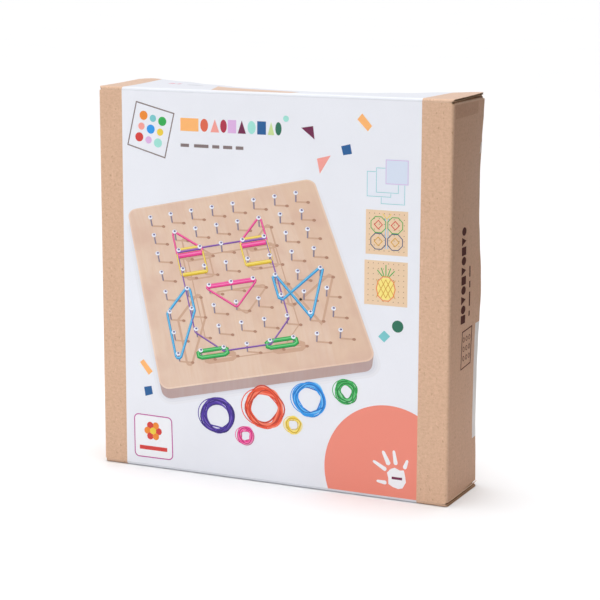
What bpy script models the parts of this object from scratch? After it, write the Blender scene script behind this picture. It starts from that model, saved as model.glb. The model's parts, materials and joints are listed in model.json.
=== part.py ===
"""Boxed geoboard set: a tuck-end carton holding a wooden peg board, its rubber bands and pattern cards.

Row frame: +X to the right of the printed front, +Y towards the back, +Z up, in metres. The origin is the
centre of the carton's footprint. The board stands in the carton with its pins towards the front.
"""

import math

import bmesh
import bpy
from mathutils import Vector

# Carton, outside sizes, closed
BOX_WIDTH = 0.273
BOX_DEPTH = 0.063
BOX_HEIGHT = 0.280
BOARD = 0.0015  # thickness of the carton's corrugated board
GAP = 0.0003  # clearance between touching pieces
SLIDE_GAP = 0.0004  # clearance of a tuck flap against the back panel
HALF_WIDTH = BOX_WIDTH / 2
HALF_DEPTH = BOX_DEPTH / 2

# Flaps of the carton
TUCK_LENGTH = 0.0135
TUCK_SIDE_MARGIN = 0.0045
TUCK_CORNER = 0.009
TUCK_LEAN = math.radians(7)  # a tuck flap leans inwards from its crease
DUST_LENGTH = 0.045
DUST_FRONT_MARGIN = 0.004
DUST_FRONT_TAPER = 0.56  # the front edge runs back by this much per metre from the hinge
DUST_BACK_MARGIN = 0.0060
DUST_BACK_TAPER = 0.10
FLAP_CORNER = 0.004
GLUE_FLAP_WIDTH = 0.016
GLUE_FLAP_TAPER = 0.018

# Wooden board with its grid of pins
GRID = 8
PITCH = 0.026
BOARD_SIZE = 0.240
WOOD_THICKNESS = 0.018
WOOD_CORNER = 0.014
WOOD_EDGE = 0.0025
PIN_HEIGHT = 0.015
PIN_RADIUS = 0.0009
PIN_SUNK = 0.010  # depth of the shank in the wood
HEAD_RADIUS = 0.0020
HEAD_THICKNESS = 0.0013
HEAD_DOME = 0.55  # radius of the flatter top of a pin's head, over the head's radius
PIN_SIDES = 6
LINK_SIZE = 0.0008  # the thin bar that joins the pins of a row inside the wood
LINK_DEPTH = 0.007
BORE_OVERRUN = 0.004  # how far a bore's cutter stands out of the wood
PIN_FRONT_GAP = 0.0008  # from the front panel to the pin heads

# Cards, divider and spacers behind and beside the board
CARD_SIZE = 0.210
CARD_THICKNESS = 0.0006
CARD_COUNT = 4
DIVIDER_HALF_WIDTH = 0.1255
DIVIDER_HEIGHT = 0.196
DIVIDER_LEG_MARGIN = 0.0042  # the legs stop short of the leaning tuck flap at the bottom
SPACER_HEIGHT = 0.238
SPACER_DEPTH = 0.034

# Levels, from the ground up
WALL_LOW = BOARD + GAP
WALL_HIGH = BOX_HEIGHT - BOARD - GAP
SIDE_LOW = 2 * (BOARD + GAP)
SIDE_HIGH = BOX_HEIGHT - SIDE_LOW
LID_HINGE_Z = WALL_HIGH + GAP / 2
BASE_HINGE_Z = WALL_LOW - GAP / 2
TOP_DUST_HINGE_Z = SIDE_HIGH + GAP / 2
BASE_DUST_HINGE_Z = SIDE_LOW - GAP / 2
CONTENTS_LOW = SIDE_LOW + GAP

# Depths, from the front panel to the back panel
FRONT_INSIDE = -HALF_DEPTH + BOARD
BACK_INSIDE = HALF_DEPTH - BOARD
WOOD_FRONT = FRONT_INSIDE + PIN_FRONT_GAP + PIN_HEIGHT
WOOD_BACK = WOOD_FRONT + WOOD_THICKNESS
CARDS_FRONT = WOOD_BACK + 0.0006
CARD_STEP = CARD_THICKNESS + GAP
DIVIDER_FRONT = CARDS_FRONT + CARD_COUNT * CARD_STEP + 0.0004
WOOD_CENTRE_Z = CONTENTS_LOW + BOARD_SIZE / 2

# A band's corner pins as (column, row), counted from the top left pin and in order round the loop, its
# height on the pins at the first row it touches, how much it sinks per row, and its thickness.
BANDS = {
    "body_band_purple": ([(1, 2), (5, 2), (5, 6), (4, 7), (2, 7), (1, 6)], 0.0118, 0.00155, 0.0012),
    "ear_band_left_pink": ([(1, 1), (2, 2), (1, 2)], 0.0104, 0.0012, 0.0016),
    "ear_band_right_pink": ([(5, 1), (5, 2), (4, 2)], 0.0104, 0.0012, 0.0016),
    "eye_band_left_yellow": ([(1, 2), (2, 2), (2, 3), (1, 3)], 0.0066, 0.0, 0.0016),
    "eye_band_right_yellow": ([(4, 2), (5, 2), (5, 3), (4, 3)], 0.0066, 0.0, 0.0016),
    "beak_band_pink": ([(2, 4), (4, 4), (3, 5)], 0.0104, 0.0, 0.0018),
    "wing_band_left_blue": ([(1, 4), (1, 5), (0, 7), (0, 5)], 0.0120, 0.0012, 0.0016),
    "foot_band_left_green": ([(1, 7), (2, 7)], 0.0088, 0.0, 0.0034),
    "foot_band_right_green": ([(4, 7), (5, 7)], 0.0088, 0.0, 0.0034),
}
# The right wing is one band crossed over itself: two loops, turned opposite ways round their pins.
CROSSED_BAND = "wing_band_right_blue"
CROSSED_NEAR = [(5, 5), (5, 4)]
CROSSED_FAR = [(6, 6), (7, 4)]
CROSSED_HEIGHT = 0.0112
CROSSED_LIFT = 0.0011  # up on one run and down on the other, where they cross
CROSSED_THICKNESS = 0.0016
RUN_POINTS = 7  # points along each run between pins of the crossed band
ARC_STEP = math.radians(40)

# Loose band bundles behind the divider: place across the carton, outer radius and half thickness
BUNDLES = {
    "band_bundle_purple": (-0.0930, 0.0240, 0.0052),
    "band_bundle_orange": (-0.0420, 0.0240, 0.0052),
    "band_bundle_blue": (0.0055, 0.0200, 0.0048),
    "band_bundle_green": (0.0440, 0.0150, 0.0044),
    "band_bundle_pink": (0.0740, 0.0120, 0.0040),
    "band_bundle_yellow": (0.1010, 0.0120, 0.0040),
}
BUNDLE_SEGMENTS = 20
BUNDLE_SIDES = 6


def clear_scene():
    for obj in list(bpy.data.objects):
        bpy.data.objects.remove(obj, do_unlink=True)


def collection(name, shown=True):
    group = bpy.data.collections.new(name)
    bpy.context.scene.collection.children.link(group)
    group.hide_render = not shown
    return group


def material(name, colour, roughness, metallic=0.0):
    made = bpy.data.materials.new(name)
    made.use_nodes = True
    shader = made.node_tree.nodes["Principled BSDF"]
    shader.inputs["Base Color"].default_value = (*colour, 1.0)
    shader.inputs["Roughness"].default_value = roughness
    shader.inputs["Metallic"].default_value = metallic
    return made


def make_materials():
    return {
        "kraft": material("kraft_board", (0.56, 0.38, 0.25), 0.62),
        "grey": material("grey_board", (0.52, 0.50, 0.47), 0.85),
        "wood": material("beech_wood", (0.80, 0.60, 0.42), 0.50),
        "steel": material("pin_steel", (0.72, 0.73, 0.76), 0.22, 1.0),
        "card": material("pattern_card", (0.86, 0.88, 0.93), 0.45),
        "purple": material("band_purple", (0.16, 0.05, 0.36), 0.50),
        "pink": material("band_pink", (0.85, 0.06, 0.36), 0.50),
        "yellow": material("band_yellow", (0.85, 0.66, 0.05), 0.50),
        "blue": material("band_blue", (0.02, 0.34, 0.78), 0.50),
        "green": material("band_green", (0.02, 0.42, 0.10), 0.50),
        "orange": material("band_orange", (0.82, 0.12, 0.03), 0.50),
    }


def add_object(name, data, group, finish, parent=None):
    obj = bpy.data.objects.new(name, data)
    group.objects.link(obj)
    if finish is not None:
        data.materials.clear()
        data.materials.append(finish)
    obj.parent = parent
    return obj


def hinge_point(name, group, location):
    """An empty on a crease's axis, which carries the flap that turns there."""
    empty = bpy.data.objects.new(name, None)
    group.objects.link(empty)
    empty.location = location
    return empty


def slab_mesh(name, size):
    """A box centred on its own origin."""
    mesh = bpy.data.meshes.new(name)
    form = bmesh.new()
    bmesh.ops.create_cube(form, size=1.0)
    bmesh.ops.scale(form, vec=size, verts=form.verts)
    form.to_mesh(mesh)
    form.free()
    return mesh


def slab(name, low, high, group, finish):
    low, high = Vector(low), Vector(high)
    obj = add_object(name, slab_mesh(name, high - low), group, finish)
    obj.location = (low + high) / 2
    return obj


def rounded_outline(corners, radii, steps=4):
    """The corners of an outline, counter-clockwise, each rounded by an arc of its radius."""
    points = []
    for i, (corner, radius) in enumerate(zip(corners, radii)):
        corner = Vector(corner)
        before = (Vector(corners[i - 1]) - corner).normalized()
        after = (Vector(corners[(i + 1) % len(corners)]) - corner).normalized()
        if radius == 0:
            points.append(corner)
            continue
        half_angle = before.angle(after) / 2
        middle = corner + (before + after).normalized() * radius / math.sin(half_angle)
        start = corner + before * radius / math.tan(half_angle) - middle
        end = corner + after * radius / math.tan(half_angle) - middle
        turn = start.angle_signed(end)
        for k in range(steps + 1):
            angle = math.atan2(start.y, start.x) - turn * k / steps
            points.append(middle + radius * Vector((math.cos(angle), math.sin(angle))))
    return points


def flat_piece(name, points, thickness, group, finish, parent=None):
    """A flat outline in its own XY plane, with its thickness half above and half below."""
    curve = bpy.data.curves.new(name, "CURVE")
    curve.dimensions = "2D"
    curve.fill_mode = "BOTH"
    curve.extrude = thickness / 2
    spline = curve.splines.new("POLY")
    spline.points.add(len(points) - 1)
    for place, point in zip(spline.points, points):
        place.co = (point[0], point[1], 0.0, 1.0)
    spline.use_cyclic_u = True
    return add_object(name, curve, group, finish, parent)


def folded_sheet(name, plan, low, high, thickness, group, finish):
    """An upright sheet of board creased along vertical lines, drawn as its path seen from above."""
    mesh = bpy.data.meshes.new(name)
    form = bmesh.new()
    path = [form.verts.new((x, y, low)) for x, y in plan]
    edges = [form.edges.new(pair) for pair in zip(path, path[1:])]
    raised = bmesh.ops.extrude_edge_only(form, edges=edges)["geom"]
    moved = [item for item in raised if isinstance(item, bmesh.types.BMVert)]
    bmesh.ops.translate(form, vec=(0, 0, high - low), verts=moved)
    bmesh.ops.recalc_face_normals(form, faces=form.faces)
    form.to_mesh(mesh)
    form.free()
    obj = add_object(name, mesh, group, finish)
    solid = obj.modifiers.new("Board", "SOLIDIFY")
    solid.thickness = thickness
    solid.offset = 0.0
    solid.use_even_offset = True
    return obj


def carton_walls(group, finish):
    """The four walls of the sleeve and the flap that glues the left wall to the back one."""
    inner = HALF_WIDTH - BOARD
    near, far = FRONT_INSIDE + GAP, BACK_INSIDE - GAP
    panels = {
        "front_panel": ((-HALF_WIDTH, -HALF_DEPTH, WALL_LOW), (HALF_WIDTH, FRONT_INSIDE, WALL_HIGH)),
        "back_panel": ((-HALF_WIDTH, BACK_INSIDE, 0), (HALF_WIDTH, HALF_DEPTH, BOX_HEIGHT)),
        "left_side_panel": ((-HALF_WIDTH, near, SIDE_LOW), (-inner, far, SIDE_HIGH)),
        "right_side_panel": ((inner, near, SIDE_LOW), (HALF_WIDTH, far, SIDE_HIGH)),
    }
    for name, (low, high) in panels.items():
        slab(name, low, high, group, finish)

    left, right = -inner + GAP, -inner + GAP + GLUE_FLAP_WIDTH
    low, high = SIDE_LOW + TUCK_LENGTH + BOARD, SIDE_HIGH - TUCK_LENGTH - BOARD
    corners = [(left, low), (right, low + GLUE_FLAP_TAPER), (right, high - GLUE_FLAP_TAPER), (left, high)]
    outline = rounded_outline(corners, [0, FLAP_CORNER, FLAP_CORNER, 0])
    flap = flat_piece("glue_flap", outline, BOARD, group, finish)
    flap.rotation_euler = (math.radians(90), 0, 0)
    flap.location = (0, BACK_INSIDE - GAP - BOARD / 2, 0)


def closure(end, group, finish):
    """One end of the carton: its closing panel, tuck flap and two dust flaps, for the top or the bottom."""
    up = 1 if end == "top" else -1
    hinge_z = LID_HINGE_Z if end == "top" else BASE_HINGE_Z
    dust_z = TOP_DUST_HINGE_Z if end == "top" else BASE_DUST_HINGE_Z
    panel_depth = BACK_INSIDE - SLIDE_GAP + HALF_DEPTH
    lift = up * (GAP + BOARD) / 2

    panel_hinge = hinge_point(f"{end}_panel_hinge", group, (0, -HALF_DEPTH, hinge_z))
    corners = [(-HALF_WIDTH, 0), (HALF_WIDTH, 0), (HALF_WIDTH, panel_depth), (-HALF_WIDTH, panel_depth)]
    outline = rounded_outline(corners, [0, 0, 0.002, 0.002])
    name = "lid_panel" if up > 0 else "bottom_panel"
    panel = flat_piece(name, outline, BOARD, group, finish, panel_hinge)
    panel.location = (0, 0, lift)

    tuck_hinge = hinge_point(f"{end}_tuck_hinge", group, (0, panel_depth, 0))
    tuck_hinge.parent = panel_hinge
    half = HALF_WIDTH - TUCK_SIDE_MARGIN
    corners = [(-half, -TUCK_LENGTH), (half, -TUCK_LENGTH), (half, -GAP / 2), (-half, -GAP / 2)]
    outline = rounded_outline(corners, [TUCK_CORNER, TUCK_CORNER, 0, 0])
    tuck = flat_piece(f"{end}_tuck_flap", outline, BOARD, group, finish, tuck_hinge)
    tuck.rotation_euler = (math.radians(90) * up - TUCK_LEAN * up, 0, 0)
    tuck.location = (0, -BOARD / 2, 0)

    front, back = DUST_FRONT_MARGIN, BOX_DEPTH - DUST_BACK_MARGIN
    tip_front, tip_back = front + DUST_FRONT_TAPER * DUST_LENGTH, back - DUST_BACK_TAPER * DUST_LENGTH
    for side, name in ((-1, "left"), (1, "right")):
        place = (side * HALF_WIDTH, -HALF_DEPTH, dust_z)
        dust_hinge = hinge_point(f"{end}_{name}_dust_hinge", group, place)
        tip = -side * DUST_LENGTH
        corners = [(0, front), (0, back), (tip, tip_back), (tip, tip_front)]
        if side < 0:
            corners.reverse()
        radii = [FLAP_CORNER if corner[0] else 0 for corner in corners]
        outline = rounded_outline(corners, radii)
        flap = flat_piece(f"{end}_{name}_dust_flap", outline, BOARD, group, finish, dust_hinge)
        flap.location = (0, 0, lift)


def pin_shells(shank, head, low, high):
    """A mesh of one row of upright turned pins along X, their surface level at Z zero."""
    form = bmesh.new()
    for column in range(GRID):
        x = (column - (GRID - 1) / 2) * PITCH
        if head:
            neck = high - HEAD_THICKNESS
            profile = [(0, low - shank), (shank, low), (shank, neck), (head, neck)]
            profile += [(head, neck + HEAD_THICKNESS / 2), (head * HEAD_DOME, high - HEAD_THICKNESS * 0.12)]
            profile += [(0, high)]
        else:
            profile = [(0, low - shank), (shank, low), (shank, high), (0, high)]
        line = [form.verts.new((x + radius, 0, height)) for radius, height in profile]
        edges = [form.edges.new(pair) for pair in zip(line, line[1:])]
        bmesh.ops.spin(
            form, geom=line + edges, cent=(x, 0, 0), axis=(0, 0, 1),
            angle=2 * math.pi, steps=PIN_SIDES, use_merge=True, use_duplicate=False,
        )
    bmesh.ops.remove_doubles(form, verts=form.verts, dist=1e-6)
    bmesh.ops.recalc_face_normals(form, faces=form.faces)
    mesh = bpy.data.meshes.new("pin_shells")
    form.to_mesh(mesh)
    form.free()
    return mesh


def joined_row(name, shells, link_size, link_length, helpers):
    """The row's pins joined into one body by a thin bar at the depth of the link."""
    row = add_object(f"{name}_shells", shells, helpers, None)
    link = slab_mesh(f"{name}_link", (link_length, link_size, link_size))
    bar = add_object(f"{name}_link", link, helpers, None)
    bar.location = (0, 0, -LINK_DEPTH)
    union = row.modifiers.new("Link", "BOOLEAN")
    union.operation = "UNION"
    union.object = bar
    graph = bpy.context.evaluated_depsgraph_get()
    mesh = bpy.data.meshes.new_from_object(row.evaluated_get(graph))
    mesh.name = name
    for helper in (row, bar):
        bpy.data.objects.remove(helper, do_unlink=True)
    return mesh


def row_height(row):
    """World Z of a row of pins, counted from the top."""
    return WOOD_CENTRE_Z + ((GRID - 1) / 2 - row) * PITCH


def pin_rows(group, helpers, finish):
    length = (GRID - 1) * PITCH
    shells = pin_shells(PIN_RADIUS, HEAD_RADIUS, -PIN_SUNK, PIN_HEIGHT)
    mesh = joined_row("pin_row", shells, LINK_SIZE, length, helpers)
    mesh.materials.append(finish)
    for row in range(GRID):
        obj = bpy.data.objects.new(f"pin_row_{row + 1}", mesh)
        group.objects.link(obj)
        obj.rotation_euler = (math.radians(90), 0, 0)
        obj.location = (0, WOOD_FRONT, row_height(row))


def wooden_board(group, helpers, cutters, finish):
    """The board with rounded corners, soft edges, and the bores and slots that hold the pin rows."""
    half = BOARD_SIZE / 2
    corners = [(-half, -half), (half, -half), (half, half), (-half, half)]
    rounded = rounded_outline(corners, [WOOD_CORNER] * 4, 5)
    outline = flat_piece("board_outline", rounded, WOOD_THICKNESS, helpers, None)
    graph = bpy.context.evaluated_depsgraph_get()
    mesh = bpy.data.meshes.new_from_object(outline.evaluated_get(graph))
    bpy.data.objects.remove(outline, do_unlink=True)
    form = bmesh.new()
    form.from_mesh(mesh)
    bmesh.ops.remove_doubles(form, verts=form.verts, dist=1e-6)
    bmesh.ops.dissolve_limit(form, angle_limit=math.radians(1), verts=form.verts, edges=form.edges)
    rims = [edge for edge in form.edges if abs(abs(edge.verts[0].co.z) - WOOD_THICKNESS / 2) < 1e-6]
    rims = [edge for edge in rims if abs(edge.verts[0].co.z - edge.verts[1].co.z) < 1e-6]
    bmesh.ops.bevel(form, geom=rims, offset=WOOD_EDGE, segments=2, profile=0.5, affect="EDGES")
    bmesh.ops.triangulate(form, faces=[face for face in form.faces if len(face.verts) > 4])
    bmesh.ops.recalc_face_normals(form, faces=form.faces)
    form.to_mesh(mesh)
    form.free()

    obj = add_object("wooden_board", mesh, group, finish)
    obj.rotation_euler = (math.radians(90), 0, 0)
    obj.location = (0, WOOD_FRONT + WOOD_THICKNESS / 2, WOOD_CENTRE_Z)

    shells = pin_shells(PIN_RADIUS + GAP, 0, -PIN_SUNK - GAP, BORE_OVERRUN)
    slot_length = (GRID - 1) * PITCH + 2 * GAP
    row_mesh = joined_row("pin_bores", shells, LINK_SIZE + 2 * GAP, slot_length, helpers)
    form = bmesh.new()
    for row in range(GRID):
        before = len(form.verts)
        form.from_mesh(row_mesh)
        form.verts.ensure_lookup_table()
        added = form.verts[before:]
        bmesh.ops.translate(form, vec=(0, ((GRID - 1) / 2 - row) * PITCH, WOOD_THICKNESS / 2), verts=added)
    mesh = bpy.data.meshes.new("pin_bores")
    form.to_mesh(mesh)
    form.free()
    cutter = add_object("pin_bores", mesh, cutters, None)
    cutter.rotation_euler = obj.rotation_euler
    cutter.location = obj.location
    cutter.hide_render = True
    cutter.display_type = "WIRE"
    cut = obj.modifiers.new("Pin bores", "BOOLEAN")
    cut.operation = "DIFFERENCE"
    cut.object = cutter


def pin_place(pin):
    """A pin's place across the board, X to the right and Y up, from the board's centre."""
    column, row = pin
    return Vector(((column - (GRID - 1) / 2) * PITCH, ((GRID - 1) / 2 - row) * PITCH))


def tangent(first, second, first_turn, second_turn, radius):
    """The run of a belt that leaves one pin and meets the next, each turned clockwise (1) or back (-1)."""
    line = second - first
    reach = line.length
    along = line / reach
    across = Vector((-along.y, along.x))
    tilt = (first_turn - second_turn) * radius / reach
    normal = along * tilt + across * math.sqrt(1 - tilt * tilt)
    return first + normal * radius * first_turn, second + normal * radius * second_turn


def belt(pins, turns, radius, run_points=2):
    """The closed path of a band round its pins, as (place, share along the run or None on a pin)."""
    places = [pin_place(pin) for pin in pins]
    count = len(places)
    runs = [
        tangent(places[i], places[(i + 1) % count], turns[i], turns[(i + 1) % count], radius)
        for i in range(count)
    ]
    path = []
    for i in range(count):
        arrive, leave = runs[i - 1][1] - places[i], runs[i][0] - places[i]
        turn = math.atan2(leave.y, leave.x) - math.atan2(arrive.y, arrive.x)
        turn = -turns[i] * (-turns[i] * turn % (2 * math.pi))
        steps = max(1, math.ceil(abs(turn) / ARC_STEP))
        start = math.atan2(arrive.y, arrive.x)
        for k in range(steps + 1):
            angle = start + turn * k / steps
            path.append((places[i] + radius * Vector((math.cos(angle), math.sin(angle))), i, None))
        for k in range(1, run_points - 1):
            share = k / (run_points - 1)
            path.append((runs[i][0].lerp(runs[i][1], share), i, share))
    return path


def band_object(name, points, thickness, group, finish):
    curve = bpy.data.curves.new(name, "CURVE")
    curve.dimensions = "3D"
    curve.bevel_depth = thickness / 2
    curve.bevel_resolution = 1
    spline = curve.splines.new("POLY")
    spline.points.add(len(points) - 1)
    for place, point in zip(spline.points, points):
        place.co = (*point, 1.0)
    spline.use_cyclic_u = True
    return add_object(name, curve, group, finish)


def stretched_bands(group, finishes):
    """The bands looped over the pins, as an owl."""
    for name, (pins, height, sink, thickness) in BANDS.items():
        radius = PIN_RADIUS + GAP + thickness / 2
        top_row = min(row for _, row in pins)
        points = []
        for place, _, _ in belt(pins, [1] * len(pins), radius):
            row = (GRID - 1) / 2 - place.y / PITCH
            level = height - sink * (row - top_row)
            points.append((place.x, WOOD_FRONT - level, WOOD_CENTRE_Z + place.y))
        band_object(name, points, thickness, group, finishes[name.split("_")[-1]])

    pins = CROSSED_NEAR + CROSSED_FAR
    turns = [1] * len(CROSSED_NEAR) + [-1] * len(CROSSED_FAR)
    radius = PIN_RADIUS + GAP + CROSSED_THICKNESS / 2
    points = []
    for place, run, share in belt(pins, turns, radius, RUN_POINTS):
        crossing = {1: 1, 3: -1}.get(run, 0)
        lift = 0.0 if share is None else CROSSED_LIFT * crossing * math.sin(math.pi * share)
        points.append((place.x, WOOD_FRONT - CROSSED_HEIGHT - lift, WOOD_CENTRE_Z + place.y))
    band_object(CROSSED_BAND, points, CROSSED_THICKNESS, group, finishes["blue"])


def inner_pieces(group, finishes):
    """The pattern cards, the divider that keeps the loose bands at the back, and the two edge spacers."""
    half = CARD_SIZE / 2
    for i in range(CARD_COUNT):
        front = CARDS_FRONT + i * CARD_STEP
        low = (-half, front, CONTENTS_LOW)
        high = (half, front + CARD_THICKNESS, CONTENTS_LOW + CARD_SIZE)
        slab(f"pattern_card_{i + 1}", low, high, group, finishes["card"])

    middle = DIVIDER_FRONT + BOARD / 2
    leg_end = BACK_INSIDE - DIVIDER_LEG_MARGIN
    plan = [(-DIVIDER_HALF_WIDTH, leg_end), (-DIVIDER_HALF_WIDTH, middle)]
    plan += [(DIVIDER_HALF_WIDTH, middle), (DIVIDER_HALF_WIDTH, leg_end)]
    top = CONTENTS_LOW + DIVIDER_HEIGHT
    folded_sheet("inlay_divider", plan, CONTENTS_LOW, top, BOARD, group, finishes["grey"])

    outer = HALF_WIDTH - BOARD - GAP - BOARD / 2
    inner = BOARD_SIZE / 2 + GAP + BOARD / 2
    near = FRONT_INSIDE + GAP + BOARD / 2
    far = near + SPACER_DEPTH
    seam = near + BOARD + 0.002
    for side, name in ((-1, "left"), (1, "right")):
        corners = [(outer, seam), (outer, far), (inner, far), (inner, near), (outer, near)]
        plan = [(side * x, y) for x, y in corners]
        top = CONTENTS_LOW + SPACER_HEIGHT
        folded_sheet(f"edge_spacer_{name}", plan, CONTENTS_LOW, top, BOARD, group, finishes["grey"])


def loose_bundles(group, finishes):
    """The bundles of spare bands, each a ring standing on edge behind the divider."""
    middle = (DIVIDER_FRONT + BOARD + BACK_INSIDE) / 2
    for name, (x, outer_radius, half_thickness) in BUNDLES.items():
        bpy.ops.mesh.primitive_torus_add(
            major_radius=outer_radius - half_thickness,
            minor_radius=half_thickness,
            major_segments=BUNDLE_SEGMENTS,
            minor_segments=BUNDLE_SIDES,
            rotation=(math.radians(90), 0, 0),
            location=(x, middle, CONTENTS_LOW + outer_radius),
        )
        ring = bpy.context.object
        ring.name = name
        for holder in list(ring.users_collection):
            holder.objects.unlink(ring)
        group.objects.link(ring)
        ring.data.materials.append(finishes[name.split("_")[-1]])


def shade_round_pieces(group):
    for obj in group.objects:
        if obj.type == "MESH":
            obj.data.shade_smooth()
            obj.data.set_sharp_from_angle(angle=math.radians(35))


def main():
    clear_scene()
    set_group = collection("boxed_geoboard_set")
    helpers = collection("helpers", shown=False)
    cutters = collection("cutters", shown=False)
    finishes = make_materials()
    carton_walls(set_group, finishes["kraft"])
    closure("top", set_group, finishes["kraft"])
    closure("bottom", set_group, finishes["kraft"])
    pin_rows(set_group, helpers, finishes["steel"])
    wooden_board(set_group, helpers, cutters, finishes["wood"])
    stretched_bands(set_group, finishes)
    inner_pieces(set_group, finishes)
    loose_bundles(set_group, finishes)
    shade_round_pieces(set_group)


main()
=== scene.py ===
"""Looks of the boxed geoboard set: the printed carton, its folds and cut edges, and what is in it."""

import json
import math
import random

import bmesh
import bpy
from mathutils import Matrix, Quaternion, Vector

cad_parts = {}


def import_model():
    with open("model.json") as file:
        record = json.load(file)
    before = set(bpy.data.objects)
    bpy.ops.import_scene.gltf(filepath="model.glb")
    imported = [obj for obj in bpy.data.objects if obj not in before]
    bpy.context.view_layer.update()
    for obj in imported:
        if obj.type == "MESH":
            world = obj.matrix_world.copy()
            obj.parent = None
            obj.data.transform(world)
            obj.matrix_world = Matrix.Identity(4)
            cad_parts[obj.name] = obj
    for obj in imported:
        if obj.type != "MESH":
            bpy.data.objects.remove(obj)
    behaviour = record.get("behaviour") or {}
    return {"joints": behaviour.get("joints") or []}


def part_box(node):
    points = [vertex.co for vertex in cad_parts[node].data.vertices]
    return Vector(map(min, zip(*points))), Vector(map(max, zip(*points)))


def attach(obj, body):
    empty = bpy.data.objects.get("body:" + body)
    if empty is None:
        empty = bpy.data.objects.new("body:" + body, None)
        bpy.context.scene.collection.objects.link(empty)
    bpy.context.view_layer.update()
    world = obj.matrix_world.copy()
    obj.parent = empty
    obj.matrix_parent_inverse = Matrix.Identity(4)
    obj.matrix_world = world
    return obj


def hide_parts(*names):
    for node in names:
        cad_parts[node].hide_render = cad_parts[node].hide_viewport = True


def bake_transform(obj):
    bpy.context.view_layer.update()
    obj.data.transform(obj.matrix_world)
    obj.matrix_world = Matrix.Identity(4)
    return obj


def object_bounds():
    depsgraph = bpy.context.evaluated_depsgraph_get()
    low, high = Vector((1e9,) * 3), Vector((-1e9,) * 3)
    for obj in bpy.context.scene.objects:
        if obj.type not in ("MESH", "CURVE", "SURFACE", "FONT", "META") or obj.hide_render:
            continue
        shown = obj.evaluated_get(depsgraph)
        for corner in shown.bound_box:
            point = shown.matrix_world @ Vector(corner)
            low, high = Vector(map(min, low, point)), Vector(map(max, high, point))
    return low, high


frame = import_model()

cad_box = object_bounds()
MM = 0.001
FULL_TURN = 2 * math.pi

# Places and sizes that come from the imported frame
FRONT, BACK = cad_box[0].y, cad_box[1].y
HALF_WIDTH, TOP = cad_box[1].x, cad_box[1].z
DEPTH = BACK - FRONT
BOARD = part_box("front_panel")[1].y - FRONT
LID_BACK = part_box("lid_panel")[1].y
DUST_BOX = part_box("top_right_dust_flap")
DUST_TOP = DUST_BOX[1].z
TUCK_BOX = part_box("top_tuck_flap")
GLUE_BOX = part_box("glue_flap")
WOOD_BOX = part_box("wooden_board")
WOOD_CENTRE = (WOOD_BOX[0] + WOOD_BOX[1]) / 2
LID_AXIS_Z = next(joint["pos_m"][2] for joint in frame["joints"] if joint["name"] == "lid_open")

# The carton's corrugated board
LINER = 0.25 * MM
FLUTE_PITCH = 3.2 * MM
FLUTE_SWING = 0.42 * MM  # how far the fluted sheet swings to each side
FLUTE_SHEET = 0.10 * MM
FLUTE_STEPS = 8
LONG_FOLD = 2.4 * MM  # outer radius where the front panel turns into a closing panel
SIDE_FOLD = 1.9 * MM  # outer radius of every other fold
TUCK_LEAN = math.radians(7)
TUCK_MARGIN = HALF_WIDTH - TUCK_BOX[1].x
TUCK_CORNER = 9 * MM
CUT_CORNER = 2 * MM
FLAP_CORNER = 4 * MM
FLAP_DROOP = 2.2 * MM

# The printed white field, across the carton
BAND_LEFT, BAND_RIGHT = -117.2 * MM, 114.0 * MM

# How far the lid's back edge stands above its true height, by share of the carton's width
LID_RISE = [
    (0.0, 1.6), (0.035, 2.3), (0.14, 0.7), (0.22, -0.7), (0.33, -2.2),
    (0.45, -2.9), (0.56, -3.3), (0.67, -2.6), (0.78, -1.6), (0.9, -0.2), (1.0, 1.0),
]
# How far a side panel's back fold stands inwards, by share of the carton's height
SIDE_BOW = [
    (0.0, 1.5), (0.06, 1.7), (0.18, 2.6), (0.30, 2.3), (0.38, 1.8), (0.44, 0.9), (0.50, 0.1),
    (0.56, 0.5), (0.63, 1.8), (0.70, 2.7), (0.80, 2.8), (0.89, 1.8), (0.95, 0.8), (1.0, 0.2),
]
LEFT_BOW = 0.55  # the left panel bows less


def smooth_steps(points, share):
    """A smooth curve through (share, value) points."""
    for (left, low), (right, high) in zip(points, points[1:]):
        if share <= right:
            part = max(0.0, (share - left) / (right - left))
            return low + (high - low) * (1 - math.cos(math.pi * part)) / 2
    return points[-1][1]


def lid_rise(x):
    return smooth_steps(LID_RISE, (x + HALF_WIDTH) / (2 * HALF_WIDTH)) * MM


def bowed(point):
    """Pulls a point of the sleeve in with its side panel's back fold."""
    share = max(0.0, min(1.0, (point.y - FRONT) / DEPTH))
    reach = smooth_steps(SIDE_BOW, point.z / TOP) * MM * share**2.5 * (abs(point.x) / HALF_WIDTH) ** 3
    if point.x < 0:
        reach *= -LEFT_BOW
    return Vector((point.x - reach, point.y, point.z))


# ---------------------------------------------------------------- materials


def colour(red, green, blue):
    """Linear colour from a colour as seen on a screen, 0 to 255."""
    linear = []
    for c in (red / 255, green / 255, blue / 255):
        linear.append(c / 12.92 if c < 0.0404 else ((c + 0.055) / 1.055) ** 2.4)
    return (*linear, 1.0)


def scaled(base, *shares):
    """A colour multiplied by one share, or by one each for red, green and blue."""
    shares = shares * 3 if len(shares) == 1 else shares
    return (*(min(1.0, c * share) for c, share in zip(base, shares)), 1.0)


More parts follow.
